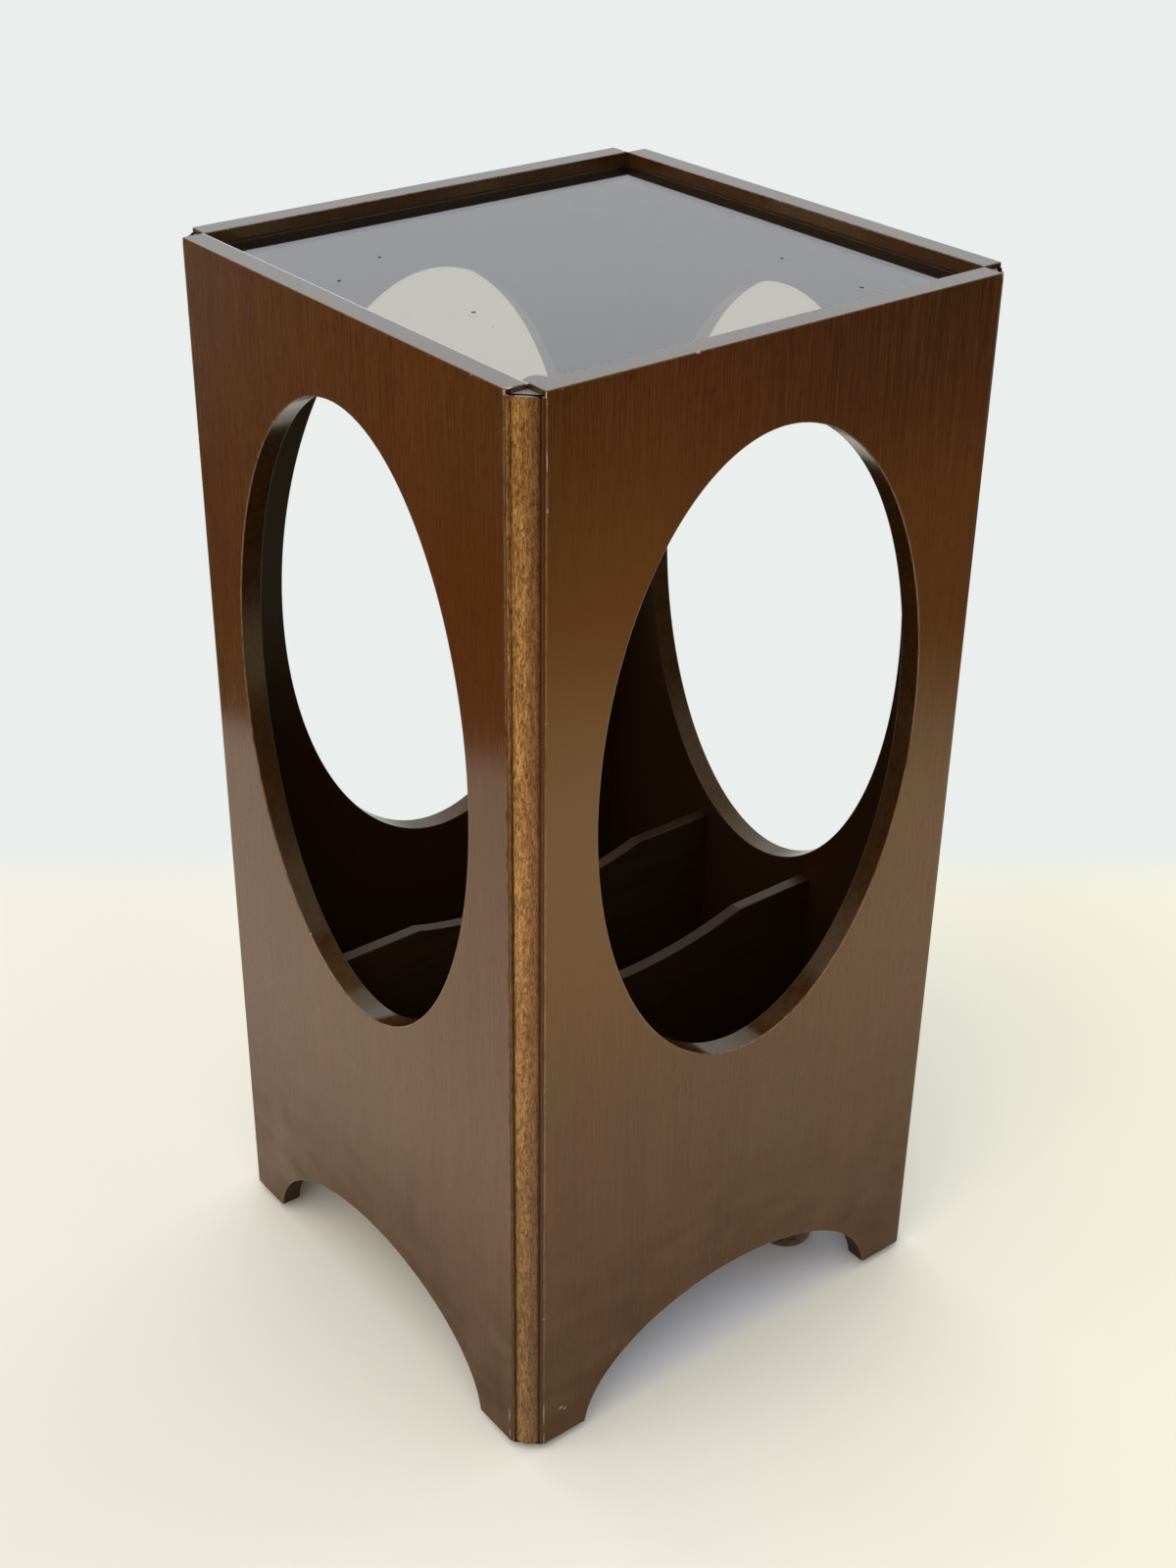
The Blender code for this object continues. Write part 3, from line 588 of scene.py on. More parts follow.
def shaded_beside_panels(look, colour):
    """Colour of a post with painted shade in its quirks and fillets and towards the front or back panel."""
    x, y, z = look.axes()
    across = abs(x) - INNER_FACE
    along = abs(y) - INNER_FACE
    # Painted shade: quirks, fillets and the part next to the front or back panel are darkened as if in shade.
    in_shade = 1 - look.step(across, *LIT_SIDE_REACH) * look.step(z, *LIT_SIDE_HEIGHT) * LIT_SIDE
    fillet = look.step(along, *FILLET_EDGE) * FILLET_FRONT
    fillet = fillet.most(look.step(across, *FILLET_EDGE) * FILLET_SIDE)
    colour = look.mixed(fillet * in_shade, colour, FILLET_SHADE)
    quirk = across.least(along)
    colour = look.tinted(colour, look.step(quirk, *QUIRK_SHADE_REACH) * in_shade, QUIRK_SHADE)
    colour = look.tinted(colour, look.step(quirk, *QUIRK_SHADOW_LINE_REACH) * in_shade, QUIRK_SHADOW_LINE)
    # Painted shade on the part of the post next to the front or back panel.
    colour = look.tinted(colour, look.step(across, *FRONT_SIDE_SHADE_REACH), FRONT_SIDE_SHADE)
    colour = look.tinted(colour, look.step(across, *FRONT_SEAM_SHADE_REACH), FRONT_SEAM_SHADE)
    return look.tinted(colour, look.step(along, *SIDE_SEAM_SHADE_REACH) * in_shade, SIDE_SEAM_SHADE)


def post_wood():
    look = Finish("post_wood")
    z = look.axes()[2]
    figure = look.noise((240, 240, 30), detail=4.0, roughness=0.7, distortion=1.6)
    ripples = look.noise((900, 900, 210), detail=3.0, roughness=0.65, distortion=1.2)
    streaks = look.noise((1300, 1300, 60), detail=3.0, roughness=0.6)
    pores = look.step(look.noise((1500, 1500, 260)), 0.54, 0.66)
    colour = look.mixed(look.step(figure, 0.34, 0.64), *POST_BROWNS)
    colour = look.tinted(colour, look.step(streaks, 0.42, 0.62), POST_STREAKS)
    colour = look.tinted(colour, look.step(ripples, 0.46, 0.60), POST_RIPPLES)
    colour = shaded_beside_panels(look, look.tinted(colour, pores, POST_PORES))
    tone = POST_TONE - look.step(z, *FOOT_HEIGHT) * FOOT_SHADE - look.step(z, *HEAD_HEIGHT) * HEAD_SHADE
    colour = look.mixed(1.0, colour, tone, "MULTIPLY")
    # Painted reflection: the top end of the post is tinted grey as if it mirrored the bright window side.
    post_end = look.step(post_high.z - z, *END_DEPTH)
    colour = look.tinted(colour, post_end, END_REFLECTION)
    polish = 0.32 + figure * 0.12 - post_end * 0.10
    bump = look.bump(streaks * 0.4 + ripples * 0.5 - pores, POST_RELIEF)
    glossy = {"Roughness": polish, "IOR": 1.45, "Specular_Tint": POST_AMBER}
    return look.surface(Base_Color=colour, Normal=bump, **glossy)


moulding = post_wood()
print("post wood has", len(moulding.node_tree.nodes), "nodes")

# %% [markdown]
# ## The wood inside
# Shelf, dividers and corner blocks are stained nearly black-brown and carry less lacquer. The castor blocks
# were never meant to be seen, so they are plain sawn softwood with growth rings.

# %% Inside boards and castor blocks
BOARD_BROWNS = (srgb(32, 18, 9), srgb(48, 30, 16))
BOARD_CLOUDS = (0.4, srgb(52, 30, 15))
BOARD_AMBER = (1.0, 0.80, 0.55, 1.0)
BOARD_RELIEF = 0.00005
SOFTWOOD_RINGS = (srgb(176, 142, 98), srgb(140, 104, 64))
SOFTWOOD_WARP = (0.3, srgb(120, 92, 60))
SOFTWOOD_RELIEF = 0.0002


def inside_board():
    look = Finish("inside_board")
    grain = look.noise((14, 500, 500), detail=3.0, roughness=0.6)
    clouds = look.noise((18, 18, 18))
    colour = look.mixed(look.step(grain, 0.3, 0.7), *BOARD_BROWNS)
    colour = look.tinted(colour, look.step(clouds, 0.4, 0.7), BOARD_CLOUDS)
    polish = 0.42 + grain * 0.14
    bump = look.bump(grain, BOARD_RELIEF)
    glossy = {"Roughness": polish, "IOR": 1.37, "Specular_Tint": BOARD_AMBER}
    return look.surface(Base_Color=colour, Normal=bump, **glossy)


def sawn_softwood():
    look = Finish("sawn_softwood")
    warp = look.noise((20, 20, 20))
    growth = {"Vector": look.place, "Scale": 60.0, "Distortion": 5.0, "Detail": 2.0}
    rings = look.add("ShaderNodeTexWave", {"bands_direction": "Y"}, growth)
    colour = look.mixed(rings, *SOFTWOOD_RINGS)
    colour = look.tinted(colour, look.step(warp, 0.4, 0.7), SOFTWOOD_WARP)
    fibres = look.noise((60, 900, 900), detail=3.0)
    bump = look.bump(fibres, SOFTWOOD_RELIEF)
    return look.surface(Base_Color=colour, Roughness=0.7 + fibres * 0.15, Normal=bump)


board = inside_board()
softwood = sawn_softwood()
print("inside board and softwood made")

# %% [markdown]
# ## Glass, rubber, plastic and steel
# Smoked glass is grey all through. A ray is tinted when it enters and again when it leaves, so the shader's
# colour is the square root of what passes. The pane's edge is ground, which makes it dull and dark. Its
# narrow arrises are painted pale, a painted highlight that shows as a pale line. A few specks of dirt lie
# on the pane. The small parts below the table are brown moulded plastic and zinc plate.

# %% Smoked glass
GLASS_TINT = (0.48, 0.43, 0.345, 1.0)
DUST_COLOUR = srgb(70, 66, 60)
SPECK_COLOUR = srgb(12, 9, 6)
SPECK_EDGE = (1.0, 0.5)
GLASS_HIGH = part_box("glass_top")[1].z
SPECK_REACH = (0.0018, 0.0018, 0.0018)
SPECKS = ((-0.106, -0.036), (0.099, -0.062), (-0.091, 0.081), (-0.135, 0.056), (0.097, -0.131))


def smoked_glass():
    look = Finish("smoked_glass")
    clear_glass = {"Transmission_Weight": 1.0, "IOR": 1.52}
    dust = look.step(look.noise((300, 300, 300), detail=1.0), 0.80, 0.83)
    smears = look.noise((22, 9, 10), detail=3.0, roughness=0.6)
    polish = 0.01 + look.step(smears, 0.5, 0.8) * 0.02 + dust * 0.3
    tint = look.mixed(dust, GLASS_TINT, DUST_COLOUR)
    for place in SPECKS:
        speck = look.step(spot(look, (*place, GLASS_HIGH), SPECK_REACH), *SPECK_EDGE)
        tint = look.mixed(speck, tint, SPECK_COLOUR)
        polish = polish + speck * 0.9
    return look.surface(Base_Color=tint, Roughness=polish, **clear_glass)


glass = smoked_glass()
print(len(SPECKS), "specks lie on the glass")

# %% Ground glass, rubber, plastic and steel
GROUND_RELIEF = 0.00003
RUBBER_GREYS = (srgb(112, 112, 108), srgb(140, 140, 134))
RUBBER_RELIEF = 0.00006
PLASTIC_RELIEF = 0.00003
PLASTIC_SCUFFS = 0.5
ZINC = srgb(188, 188, 184)
ZINC_TARNISH = (0.6, srgb(128, 120, 104))


def ground_glass(name, dark, pale):
    look = Finish(name)
    frost = look.noise((1500, 1500, 1500))
    colour = look.mixed(frost, dark, pale)
    bump = look.bump(frost, GROUND_RELIEF)
    return look.surface(Base_Color=colour, Roughness=0.5 + frost * 0.2, Normal=bump)


def bumper_rubber():
    look = Finish("bumper_rubber")
    grain = look.noise((900, 900, 900))
    colour = look.mixed(grain, *RUBBER_GREYS)
    bump = look.bump(grain, RUBBER_RELIEF)
    return look.surface(Base_Color=colour, Roughness=0.6 + grain * 0.2, Normal=bump)


def castor_plastic(name, dark, pale):
    look = Finish(name)
    grain = look.noise((1200, 1200, 1200))
    scuffs = look.step(look.noise((160, 160, 160), detail=4.0, roughness=0.7), 0.58, 0.72)
    colour = look.tinted(dark, scuffs, (PLASTIC_SCUFFS, pale))
    polish = 0.32 + scuffs * 0.3 + grain * 0.06
    return look.surface(Base_Color=colour, Roughness=polish, Normal=look.bump(grain, PLASTIC_RELIEF))


def zinc_steel():
    look = Finish("zinc_steel")
    spangle = look.noise((420, 420, 420), detail=3.0, roughness=0.6)
    tarnish = look.step(look.noise((70, 70, 70), detail=3.0), 0.5, 0.75)
    colour = look.tinted(ZINC, tarnish, ZINC_TARNISH)
    polish = 0.28 + spangle * 0.2 + tarnish * 0.15
    return look.surface(Base_Color=colour, Metallic=1.0, Roughness=polish)


ground_edge = ground_glass("ground_edge", srgb(34, 36, 35), srgb(52, 55, 53))
# Painted highlight: the pale colour of the pane's arrises stands in for the light they catch.
glass_arris_highlight = ground_glass("glass_arris_highlight", srgb(118, 124, 126), srgb(158, 164, 168))
rubber = bumper_rubber()
hood_plastic = castor_plastic("castor_hood_plastic", srgb(46, 33, 26), srgb(88, 70, 58))
wheel_plastic = castor_plastic("castor_wheel_plastic", srgb(92, 67, 48), srgb(128, 102, 80))
steel = zinc_steel()
print("finishes in use:", len(bpy.data.materials))

# %% [markdown]
# ## Boards with softened edges
# A real board has no perfectly sharp edge: sandpaper takes off about a millimetre, and that line catches
# light. Each board is drawn as an outline, pushed to its thickness, and left to a Bevel modifier that reads
# a weight on every sharp edge. Hardened normals keep the flat faces flat while the narrow rounds shade
# smoothly. A slight break in a surface, too flat to be rounded but not part of a curve, is kept crisp.


# %% Shapes and pieces
SHARP = math.radians(40)
CRISP = math.radians(9)
NEARLY_STRAIGHT = 0.9


def pushed(shape, faces, step):
    """Gives faces a thickness."""
    made = bmesh.ops.extrude_face_region(shape, geom=faces, use_keep_orig=True)
    far_side = [item for item in made["geom"] if isinstance(item, bmesh.types.BMVert)]
    bmesh.ops.translate(shape, verts=far_side, vec=step)
    bmesh.ops.recalc_face_normals(shape, faces=shape.faces)
    return shape


def arc(centre, radii, start, end, steps):
    """Points on an arc of a circle or an ellipse, both ends included."""
    angles = [start + (end - start) * step / steps for step in range(steps + 1)]
    return [(centre[0] + radii[0] * math.cos(a), centre[1] + radii[1] * math.sin(a)) for a in angles]


def weigh_edges(shape, weight_of=lambda edge: 1.0, crisp=CRISP):
    """Stores how strongly each sharp edge is rounded, from 0 to 1, and keeps slight breaks crisp."""
    layer = shape.edges.layers.float.new("bevel_weight_edge")
    for edge in shape.edges:
        angle = edge.calc_face_angle(0)
        if angle > SHARP:
            edge[layer] = weight_of(edge)
        edge.smooth = angle < crisp or edge[layer] > 0
    for face in shape.faces:
        face.smooth = True
    return shape


def piece(name, shape, place, body, slot, finishes, stands_for, rounding=0.0, segments=3, rounds=0):
    """A finished piece that rides on a body in place of a solid. Its rounds take one of its finishes."""
    mesh = bpy.data.meshes.new(name)
    shape.to_mesh(mesh)
    shape.free()
    mesh.transform(place)
    for finish in finishes:
        mesh.materials.append(finish)
    made = bpy.data.objects.new(name, mesh)
    bpy.context.scene.collection.objects.link(made)
    if rounding:
        bevel = made.modifiers.new("soft edges", "BEVEL")
        bevel.limit_method = "WEIGHT"
        bevel.width = rounding
        bevel.segments = segments
        bevel.harden_normals = True
        bevel.material = rounds
    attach(made, body)
    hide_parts(stands_for)
    return made


print("board tools ready")

# %% [markdown]
# ## The four panels
# A face cannot have a hole in it, so the panel is drawn as two halves that meet above and below the oval.
# They are pushed together, and the seam lies flat in the face where no light finds it. The arch is part of
# an ellipse whose centre lies on the floor. The two outer upright edges have a larger round than the rest,
# and the inner ones stay sharp, because there two panels meet.

# %% The panels
EDGE_ROUND = 0.0013
OVAL_STEPS = 96
ARCH_STEPS = 48
PANEL_TURNS = {"front": 0, "right": 90, "back": 180, "left": 270}


def half_panel_outline():
    """Right half of a panel seen from outside, from the top of the arch to the foot, the rim and the oval."""
    upright = math.pi / 2
    arch = arc((0, 0), (ARCH_REACH, ARCH_TOP), upright, ARCH_START, ARCH_STEPS)
    oval = arc((0, OVAL_MIDDLE), (OVAL_HALF_WIDTH, OVAL_HALF_HEIGHT), upright, -upright, OVAL_STEPS)
    return arch + [(INNER_FACE, PANEL_BOTTOM), (INNER_FACE, RIM), (0, RIM)] + oval


def panel_shape():
    shape = bmesh.new()
    thickness = OUTER_FACE - INNER_FACE
    right = [shape.verts.new((round(x, 7), 0, z)) for x, z in half_panel_outline()]
    left = [v if v.co.x == 0 else shape.verts.new((-v.co.x, 0, v.co.z)) for v in right]
    halves = [shape.faces.new(right), shape.faces.new(reversed(left))]
    pushed(shape, halves, (0, thickness, 0))
    for face in shape.faces:
        middle = face.calc_center_median()
        inside = abs(middle.x) < INNER_FACE - FOOT_WIDTH / 2 and middle.z < RIM - ARRIS
        face.material_index = 0 if abs(face.normal.y) > NEARLY_STRAIGHT else 2 if inside else 1

    def weight(edge):
        upright = abs(edge.verts[0].co.z - edge.verts[1].co.z) > ARCH_TOP
        depth = max(vert.co.y for vert in edge.verts)
        if upright:
            return 0.0 if depth > thickness / 2 else 1.0
        return ARRIS / EDGE_ROUND

    return weigh_edges(shape, weight)


for side, degrees in PANEL_TURNS.items():
    turn = Matrix.Rotation(math.radians(degrees), 4, "Z")
    place = turn @ Matrix.Translation((0, -OUTER_FACE, 0))
    node = f"{side}_panel"
    finishes = (veneer, lipping, cut_edge)
    shape = panel_shape()
    piece(f"{node}_board", shape, place, "rack", "panel_veneer", finishes, node, EDGE_ROUND, segments=4)

# %% [markdown]
# ## The corner posts
# Each post fills the notch where two panel ends meet, and stops short of the rim. It is a quarter-round
# between two fillets, the flat strips that lie against the panel ends, and a quirk parts each fillet from
# the round. The outline starts in the inner corner and is the same on both sides, so only one side of it is
# drawn.

# %% The posts
CORNER_TURNS = {"front_left": 0, "front_right": 90, "back_right": 180, "back_left": 270}
POST_RADIUS = 0.0115
POST_STEPS = 32
POST_ARRIS = 0.0003
FILLET_REACH = 0.0142
FILLET_START = 0.0125
FILLET_DEPTH = 0.0012
QUIRK_DEPTH = 0.0004


def corner_place(corner, height):
    """Frame with its origin where two inner faces meet, and its +X and +Y along the panels."""
    turn = Matrix.Rotation(math.radians(CORNER_TURNS[corner]), 4, "Z")
    return turn @ Matrix.Translation((-INNER_FACE, -INNER_FACE, height))


def post_shape():
    lean = math.asin(QUIRK_DEPTH / POST_RADIUS)
    round_side = arc((0, 0), (POST_RADIUS, POST_RADIUS), math.pi + lean, 1.5 * math.pi - lean, POST_STEPS)
    fillet = [(-FILLET_REACH, 0), (-FILLET_REACH, -FILLET_DEPTH), (-FILLET_START, -FILLET_DEPTH)]
    fillet += [(-FILLET_START, -QUIRK_DEPTH)]
    mirrored = [(y, x) for x, y in reversed(fillet)]
    shape = bmesh.new()
    outline = [(0, 0)] + fillet + round_side + mirrored
    face = shape.faces.new([shape.verts.new((x, y, 0)) for x, y in outline])
    pushed(shape, [face], (0, 0, post_high.z - post_low.z))
    return weigh_edges(shape)


for corner in CORNER_TURNS:
    node = f"{corner}_post"
    place = corner_place(corner, post_low.z)
    piece(f"{node}_moulding", post_shape(), place, "rack", "post_wood", (moulding,), node, POST_ARRIS)
print(f"posts end {1000 * (RIM - post_high.z):.0f} mm below the rim")

# %% [markdown]
# ## Shelf and dividers
# The dividers have raised ends, and between them their top dips in a shallow arc that starts with a clear
# break. Only what stands clear of the panels is drawn, with a hair's gap to the boards around them.

# %% The shelf and the dividers
GAP = 0.0002
BOARD_ARRIS = 0.0007
DIVIDER_DIP = 0.0145
RAISED_END = 0.0655
HALF_DIP = INNER_FACE - RAISED_END
DIP_STEPS = 40


def shelf_shape():
    low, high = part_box("base_shelf")
    edge = INNER_FACE - GAP
    shape = bmesh.new()
    corners = [(-edge, -edge), (edge, -edge), (edge, edge), (-edge, edge)]
    face = shape.faces.new([shape.verts.new((x, y, low.z)) for x, y in corners])
    pushed(shape, [face], (0, 0, high.z - low.z))
    return weigh_edges(shape)


def divider_shape(node):
    low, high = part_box(node)
    end = INNER_FACE - GAP
    radius = (HALF_DIP**2 + DIVIDER_DIP**2) / (2 * DIVIDER_DIP)
    lean = math.asin(HALF_DIP / radius)
    lowest = -math.pi / 2
    centre = (0, high.z - DIVIDER_DIP + radius)
    dip = arc(centre, (radius, radius), lowest - lean, lowest + lean, DIP_STEPS)
    outline = dip + [(end, high.z), (end, low.z), (-end, low.z), (-end, high.z)]
    shape = bmesh.new()
    face = shape.faces.new([shape.verts.new((x, low.y, z)) for x, z in outline])
    pushed(shape, [face], (0, high.y - low.y, 0))
    return weigh_edges(shape)


here = Matrix.Identity(4)
piece("base_shelf_board", shelf_shape(), here, "rack", "inside_board", (board,), "base_shelf", BOARD_ARRIS)
for node in ("front_divider", "rear_divider"):
    piece(f"{node}_board", divider_shape(node), here, "rack", "inside_board", (board,), node, BOARD_ARRIS)
print("shelf and dividers made")

# %% [markdown]
# ## The glass pane
# The pane has small corner radii and a ground arris. It rides on its own body, because it can be lifted
# out.

# %% The pane
GLASS_CORNER = 0.003
CORNER_STEPS = 6
GROUND_ROUND = {"rounding": 0.0006, "segments": 2, "rounds": 2}


def pane_shape():
    low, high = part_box("glass_top")
    shape = bmesh.new()
    outline = []
    for quarter, (x, y) in enumerate(((1, 1), (-1, 1), (-1, -1), (1, -1))):
        centre = (x * (high.x - GLASS_CORNER), y * (high.y - GLASS_CORNER))
        start = quarter * math.pi / 2
        outline += arc(centre, (GLASS_CORNER, GLASS_CORNER), start, start + math.pi / 2, CORNER_STEPS)
    face = shape.faces.new([shape.verts.new((x, y, low.z)) for x, y in outline])
    pushed(shape, [face], (0, 0, high.z - low.z))
    for face in shape.faces:
        face.material_index = 0 if abs(face.normal.z) > NEARLY_STRAIGHT else 1
    return weigh_edges(shape)


finishes = (glass, ground_edge, glass_arris_highlight)
piece("glass_pane", pane_shape(), here, "glass", "smoked_glass", finishes, "glass_top", **GROUND_ROUND)
print("pane made")

# %% [markdown]
# ## Wheels and bumpers
# What is round is turned: a profile of radii and heights is swept about an axis in even steps. A castor
# wheel has rounded shoulders, a dished face with ribs, a hub cap, and a blind bore for the axle. The joints
# of the packed model say where each axle is and which way it points. A bumper is a low dome of soft rubber
# under the glass.

# %% Turned pieces
TURN_STEPS = 120
WHEEL_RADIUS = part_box("front_left_castor_left_wheel")[1].z / 2
WHEEL_INSIDE = 0.0055
WHEEL_WIDTH = 0.0110
SHOULDER = 0.0022
SHOULDER_STEPS = 6
BORE_RADIUS = 0.0033
BORE_DEPTH = 0.0080
DISH_RADIUS = 0.0190
DISH_SLOPE = 0.0008
DISH_FLOOR = 0.0098
CAP_RADIUS = 0.0095
CAP_SLOPE = 0.0005
CAP_RING = 0.0020
CAP_HOLLOW = 0.0004
RIBS = 10
RIB_STEPS = 2
RIB_HEIGHT = 0.0008
axles = {joint["child"]: joint for joint in frame["joints"]}


def turned(profile, ribbed=()):
    """Sweeps a profile of (radius, height) points about Z, with ribs that rise from the ribbed points."""
    shape = bmesh.new()
    rings = []
    for number, (radius, height) in enumerate(profile):
        ring = []
        for step in range(TURN_STEPS if radius else 1):
            angle = 2 * math.pi * step / TURN_STEPS
            on_rib = number in ribbed and step % (TURN_STEPS // RIBS) < RIB_STEPS
            rise = RIB_HEIGHT if on_rib else 0
            ring.append(shape.verts.new((radius * math.cos(angle), radius * math.sin(angle), height + rise)))
        rings.append(ring)
    for low, high in zip(rings, rings[1:]):
        for step in range(TURN_STEPS):
            after = step + 1
            corners = [low[step % len(low)], low[after % len(low)]]
            corners += [high[after % len(high)], high[step % len(high)]]
            shape.faces.new(list(dict.fromkeys(corners)))
    bmesh.ops.recalc_face_normals(shape, faces=shape.faces)
    return shape


def wheel_shape():
    """A wheel with its inner side at z = 0."""
    reach = WHEEL_RADIUS - SHOULDER
    quarter = math.pi / 2
    inner = arc((reach, SHOULDER), (SHOULDER, SHOULDER), -quarter, 0, SHOULDER_STEPS)
    outer = arc((reach, WHEEL_WIDTH - SHOULDER), (SHOULDER, SHOULDER), 0, quarter, SHOULDER_STEPS)
    profile = [(0, BORE_DEPTH), (BORE_RADIUS, BORE_DEPTH), (BORE_RADIUS, 0)] + inner + outer
    profile += [(DISH_RADIUS, WHEEL_WIDTH)]
    ribbed = (len(profile), len(profile) + 1)
    profile += [(DISH_RADIUS - DISH_SLOPE, DISH_FLOOR), (CAP_RADIUS, DISH_FLOOR)]
    profile += [(CAP_RADIUS - CAP_SLOPE, WHEEL_WIDTH), (CAP_RADIUS - CAP_RING, WHEEL_WIDTH)]
    profile += [(CAP_RADIUS - CAP_RING - CAP_SLOPE, WHEEL_WIDTH - CAP_HOLLOW), (0, WHEEL_WIDTH - CAP_HOLLOW)]
    return weigh_edges(turned(profile, ribbed), lambda edge: 0.0, SHARP)


def middle_of(node):
    low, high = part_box(node)
    return (low + high) / 2


def wheel_place(node):
    """Frame of a wheel: at its inner side on the axle, with +Z pointing outward."""
    axle = Vector(axles[node]["axis"])
    centre = Vector(axles[node]["pos_m"])
    outward = axle if axle.dot(middle_of(node) - centre) > 0 else -axle
    turn = outward.to_track_quat("Z", "Y").to_matrix().to_4x4()
    return Matrix.Translation(centre + WHEEL_INSIDE * outward) @ turn


def bumper_shape(node):
    low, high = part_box(node)
    radius = (high.x - low.x) / 2
    height = high.z - low.z
    dome = arc((radius - height / 2, height / 2), (height / 2, height / 2), 0, math.pi / 2, SHOULDER_STEPS)
    return weigh_edges(turned([(0, 0), (radius, 0)] + dome + [(0, height)]), lambda edge: 0.0, SHARP)


for corner in CORNER_TURNS:
    for side in ("left", "right"):
        node = f"{corner}_castor_{side}_wheel"
        place = wheel_place(node)
        piece(f"{node}_turned", wheel_shape(), place, node, "castor_plastic", (wheel_plastic,), node)
    node = f"{corner}_glass_bumper"
    place = Matrix.Translation((*middle_of(node).xy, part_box(node)[0].z))
    piece(f"{node}_dome", bumper_shape(node), place, "rack", "bumper_rubber", (rubber,), node)

# %% [markdown]
# ## The other small parts
# Blocks, hoods, plates, pins and screws have the right shape already, but their edges are as sharp as a
# drawing. A copy of each solid is welded and its flat faces are made whole again, so that its edges can be
# softened like those of the boards. The packed record says which body and which finish each solid belongs
# to.

# %% Softened copies
WELD = 0.00001
FLAT = math.radians(0.5)
FINISH_AND_ROUND = {
    "inside_board": (board, 0.0007),
    "block_wood": (softwood, 0.0010),
    "castor_plastic": (hood_plastic, 0.0004),
    "castor_steel": (steel, 0.00013),
}
body_of = {node: body for body, nodes in frame["record"]["behaviour"]["bodies"].items() for node in nodes}


def softened(solid):
    shape = bmesh.new()
    shape.from_mesh(solid.data)
    bmesh.ops.remove_doubles(shape, verts=shape.verts, dist=WELD)
    bmesh.ops.dissolve_limit(shape, angle_limit=FLAT, verts=shape.verts, edges=shape.edges)
    return weigh_edges(shape, crisp=SHARP)


bare = [row for row in frame["record"]["subparts"] if not frame["nodes"][row["node"]].hide_render]
for row in bare:
    node = row["node"]
    slot = row["material_slot"]
    finish, rounding = FINISH_AND_ROUND[slot]
    shape = softened(frame["nodes"][node])
    piece(f"{node}_soft", shape, here, body_of[node], slot, (finish,), node, rounding, segments=2)
print("softened copies:", len(bare))

# %% [markdown]
# ## Floor and backdrop
# The table stands on a pale cream floor in front of a white wall. The floor's colour holds painted light
# and shade: it is painted lighter in front of the table and whiter and cooler under it, where the table's
# shade falls, and darker to the left and to the right. The wall is only a colour: past a line behind the
# table the floor's shader turns to it for the rays that the eye follows, so that no real wall is in the way
# when the camera walks round. Other rays find nothing there, as in a studio with a floor of limited size:
# it fades to the right and ends on the left, and the lacquer mirrors both. From below the floor is clear,
# so that the underside of the table can be looked at.

# %% The floor's colours and places
FLOOR_RADIUS = 1.20
FLOOR_STEPS = 96
FLOOR_MIDDLE = (0.12, -0.12)
# Painted light and shade: the floor is darker to the left and right and lighter in front.
FLOOR_LEFT_SHADED = srgb(231, 226, 210)
FLOOR_FRONT_LIT = srgb(250, 245, 228)
FLOOR_RIGHT_SHADED = srgb(240, 234, 208)
FLOOR_BELOW_LIT = srgb(250, 250, 255)
FLOOR_MOTTLE = (0.25, srgb(231, 226, 211))
LEFT_TO_FRONT = (-0.45, 0.05)
FRONT_TO_RIGHT = (0.08, 0.48)
BELOW_TABLE = (0.19, 0.15)
BELOW_SIDE = (-0.12, 0.06)
FADE_RADIUS = (0.56 * FLOOR_RADIUS, 0.98 * FLOOR_RADIUS)
FADE_SIDE = (-0.6, -0.2)
FLOOR_END = (-0.89, -0.95)
WALL_COLOUR = srgb(234, 238, 237)
WALL_LINE = (0.41, 0.53)
print("floor", 2 * FLOOR_RADIUS, "m across")


# %% The floor
def floor_finish():
    look = Finish("floor")
    x, y = look.axes()[:2]
    behind = look.step(x * away.x + y * away.y, *WALL_LINE)
    side = x * level.x + y * level.y
    radius = ((x - FLOOR_MIDDLE[0]) ** 2 + (y - FLOOR_MIDDLE[1]) ** 2) ** 0.5
    edge = look.step(radius, *FADE_RADIUS) * look.step(side, *FADE_SIDE)
    edge = edge.most(look.step(side, *FLOOR_END))
    rays = look.add("ShaderNodeLightPath")
    straight = rays.out("Is Camera Ray").most(rays.out("Is Transmission Ray"))
    mottle = look.noise((9, 9, 9), detail=4.0, roughness=0.6)
    # Painted light and shade across the floor, from the left through the front to the right.
    colour = look.mixed(look.step(side, *LEFT_TO_FRONT), FLOOR_LEFT_SHADED, FLOOR_FRONT_LIT)
    colour = look.mixed(look.step(side, *FRONT_TO_RIGHT), colour, FLOOR_RIGHT_SHADED)
    # Painted light: under the table the floor is whiter and cooler, lifting the table's shadow.
    below = look.step(abs(x).most(abs(y)), *BELOW_TABLE) * look.step(side, *BELOW_SIDE)
    colour = look.mixed(below, colour, FLOOR_BELOW_LIT)
    colour = look.tinted(colour, mottle, FLOOR_MOTTLE)
    ground = look.add("ShaderNodeBsdfDiffuse", {}, {"Color": colour})
    wall = look.add("ShaderNodeEmission", {}, {"Color": WALL_COLOUR})
    nothing = look.add("ShaderNodeBsdfTransparent")
    past = look.add("ShaderNodeMixShader", {}, {0: straight, 1: nothing, 2: wall})
    both = look.add("ShaderNodeMixShader", {}, {0: edge.most(behind * straight), 1: ground, 2: past})
    from_below = look.add("ShaderNodeNewGeometry").out("Backfacing") * straight
    both = look.add("ShaderNodeMixShader", {}, {0: from_below, 1: both, 2: nothing})
    look.add("ShaderNodeOutputMaterial", {}, {"Surface": both})
    return look.material


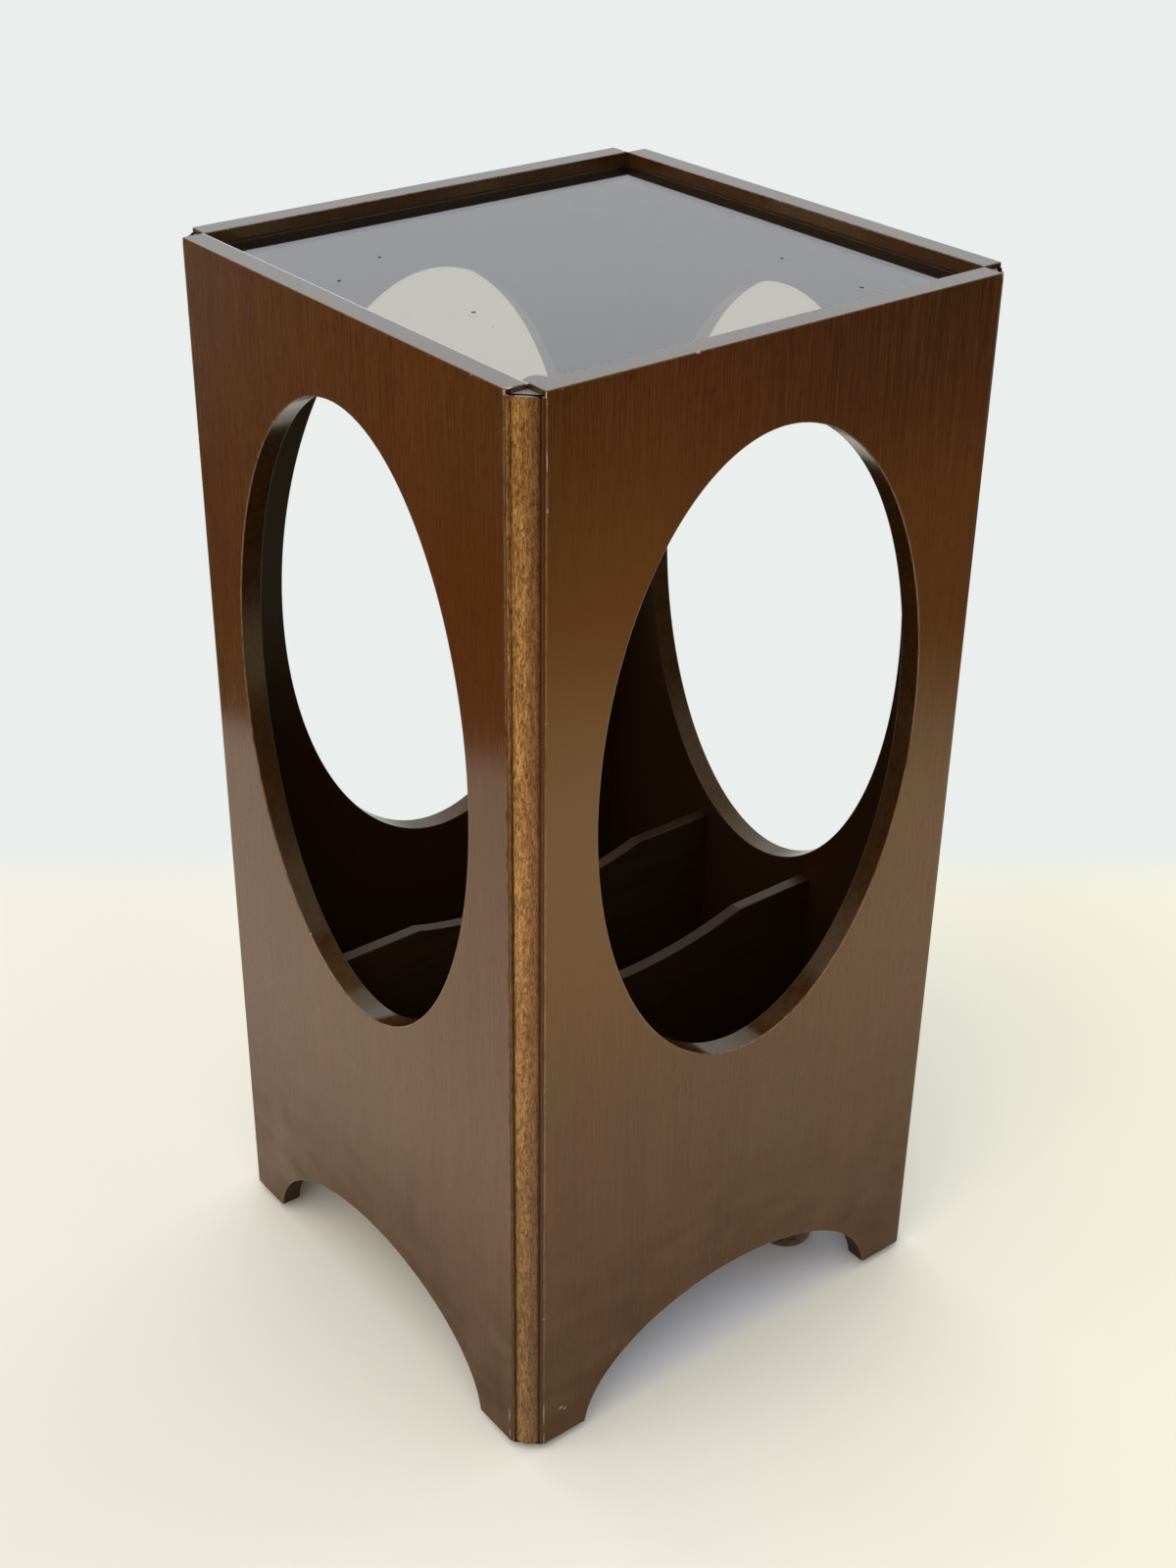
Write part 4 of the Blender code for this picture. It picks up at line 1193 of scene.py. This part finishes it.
shape = bmesh.new()
bmesh.ops.create_circle(shape, cap_ends=True, segments=FLOOR_STEPS, radius=FLOOR_RADIUS)
bmesh.ops.translate(shape, verts=shape.verts, vec=(*FLOOR_MIDDLE, 0))
floor_mesh = bpy.data.meshes.new("floor")
shape.to_mesh(floor_mesh)
shape.free()
floor_mesh.materials.append(floor_finish())
floor = bpy.data.objects.new("floor", floor_mesh)
bpy.context.scene.collection.objects.link(floor)
print("floor has", len(floor_mesh.materials[0].node_tree.nodes), "nodes")

# %% [markdown]
# ## Light
# All the light is soft and comes from the world: a cool ceiling, a bright window side behind the table, a
# warmer glow from high up on the left, and a dim room near the horizon. What lies flat, such as the glass
# and the rim, mirrors the window side, while the upright panels mirror the floor and, further up, the dim
# room. Seen straight on or through the glass, the world is the wall's colour. So it is for a mirrored ray
# that heads for the wall behind the table, below the window.

# %% The light's strengths and places
ROOM = 0.04
CEILING = 0.82
CEILING_HEIGHT = (0.05, 0.5)
WINDOW = 0.72
WINDOW_RISE = 35
WINDOW_REACH = (0.6, 0.9)
KEY = 1.2
KEY_AZIMUTH = math.radians(193)
KEY_RISE = 44
KEY_REACH = (0.68, 0.95)
COOL = (0.93, 0.985, 1.07, 1.0)
WARM = (1.08, 1.0, 0.86, 1.0)
WALL_REACH = (0.36, 0.55)
WALL_HEIGHT = ((-0.42, -0.28), (0.30, 0.10))


def aloft(side, degrees):
    """Direction that rises so many degrees towards a side."""
    angle = math.radians(degrees)
    return math.cos(angle) * side + math.sin(angle) * Vector((0, 0, 1))


WINDOW_SIDE = aloft(away, WINDOW_RISE)
KEY_SIDE = aloft(Vector((math.cos(KEY_AZIMUTH), math.sin(KEY_AZIMUTH), 0)), KEY_RISE)
print(f"ceiling {CEILING}, window side {CEILING + WINDOW}, key {CEILING + KEY}")

# %% The light
world = bpy.data.worlds.new("room")
world.use_nodes = True
bpy.context.scene.world = world
room = Nodes(world.node_tree)
looking = room.add("ShaderNodeTexCoord").out("Generated")
height = room.add("ShaderNodeSeparateXYZ", {}, {"Vector": looking}).out("Z")


def facing(side):
    """Cosine of the angle between a ray and a direction."""
    return room.add("ShaderNodeVectorMath", {"operation": "DOT_PRODUCT"}, {0: looking, 1: side}).out("Value")


ceiling = ROOM + room.step(height, *CEILING_HEIGHT) * (CEILING - ROOM)
window = room.step(facing(WINDOW_SIDE), *WINDOW_REACH) * WINDOW
key = room.step(facing(KEY_SIDE), *KEY_REACH) * KEY
cool = room.add("ShaderNodeBackground", {}, {"Color": COOL, "Strength": ceiling + window})
warm = room.add("ShaderNodeBackground", {}, {"Color": WARM, "Strength": key})
lit = room.add("ShaderNodeAddShader", {}, {0: cool, 1: warm})
wall = room.add("ShaderNodeBackground", {}, {"Color": WALL_COLOUR, "Strength": 1.0})
rays = room.add("ShaderNodeLightPath")
straight = rays.out("Is Camera Ray").most(rays.out("Is Transmission Ray"))
mirrored = rays.out("Is Glossy Ray") * room.step(facing(away), *WALL_REACH)
mirrored = mirrored * between(room, height, *WALL_HEIGHT)
shown = room.add("ShaderNodeMixShader", {}, {0: straight.most(mirrored), 1: lit, 2: wall})
room.add("ShaderNodeOutputWorld", {}, {"Surface": shown})
print("the room has", len(world.node_tree.nodes), "nodes")

# %% [markdown]
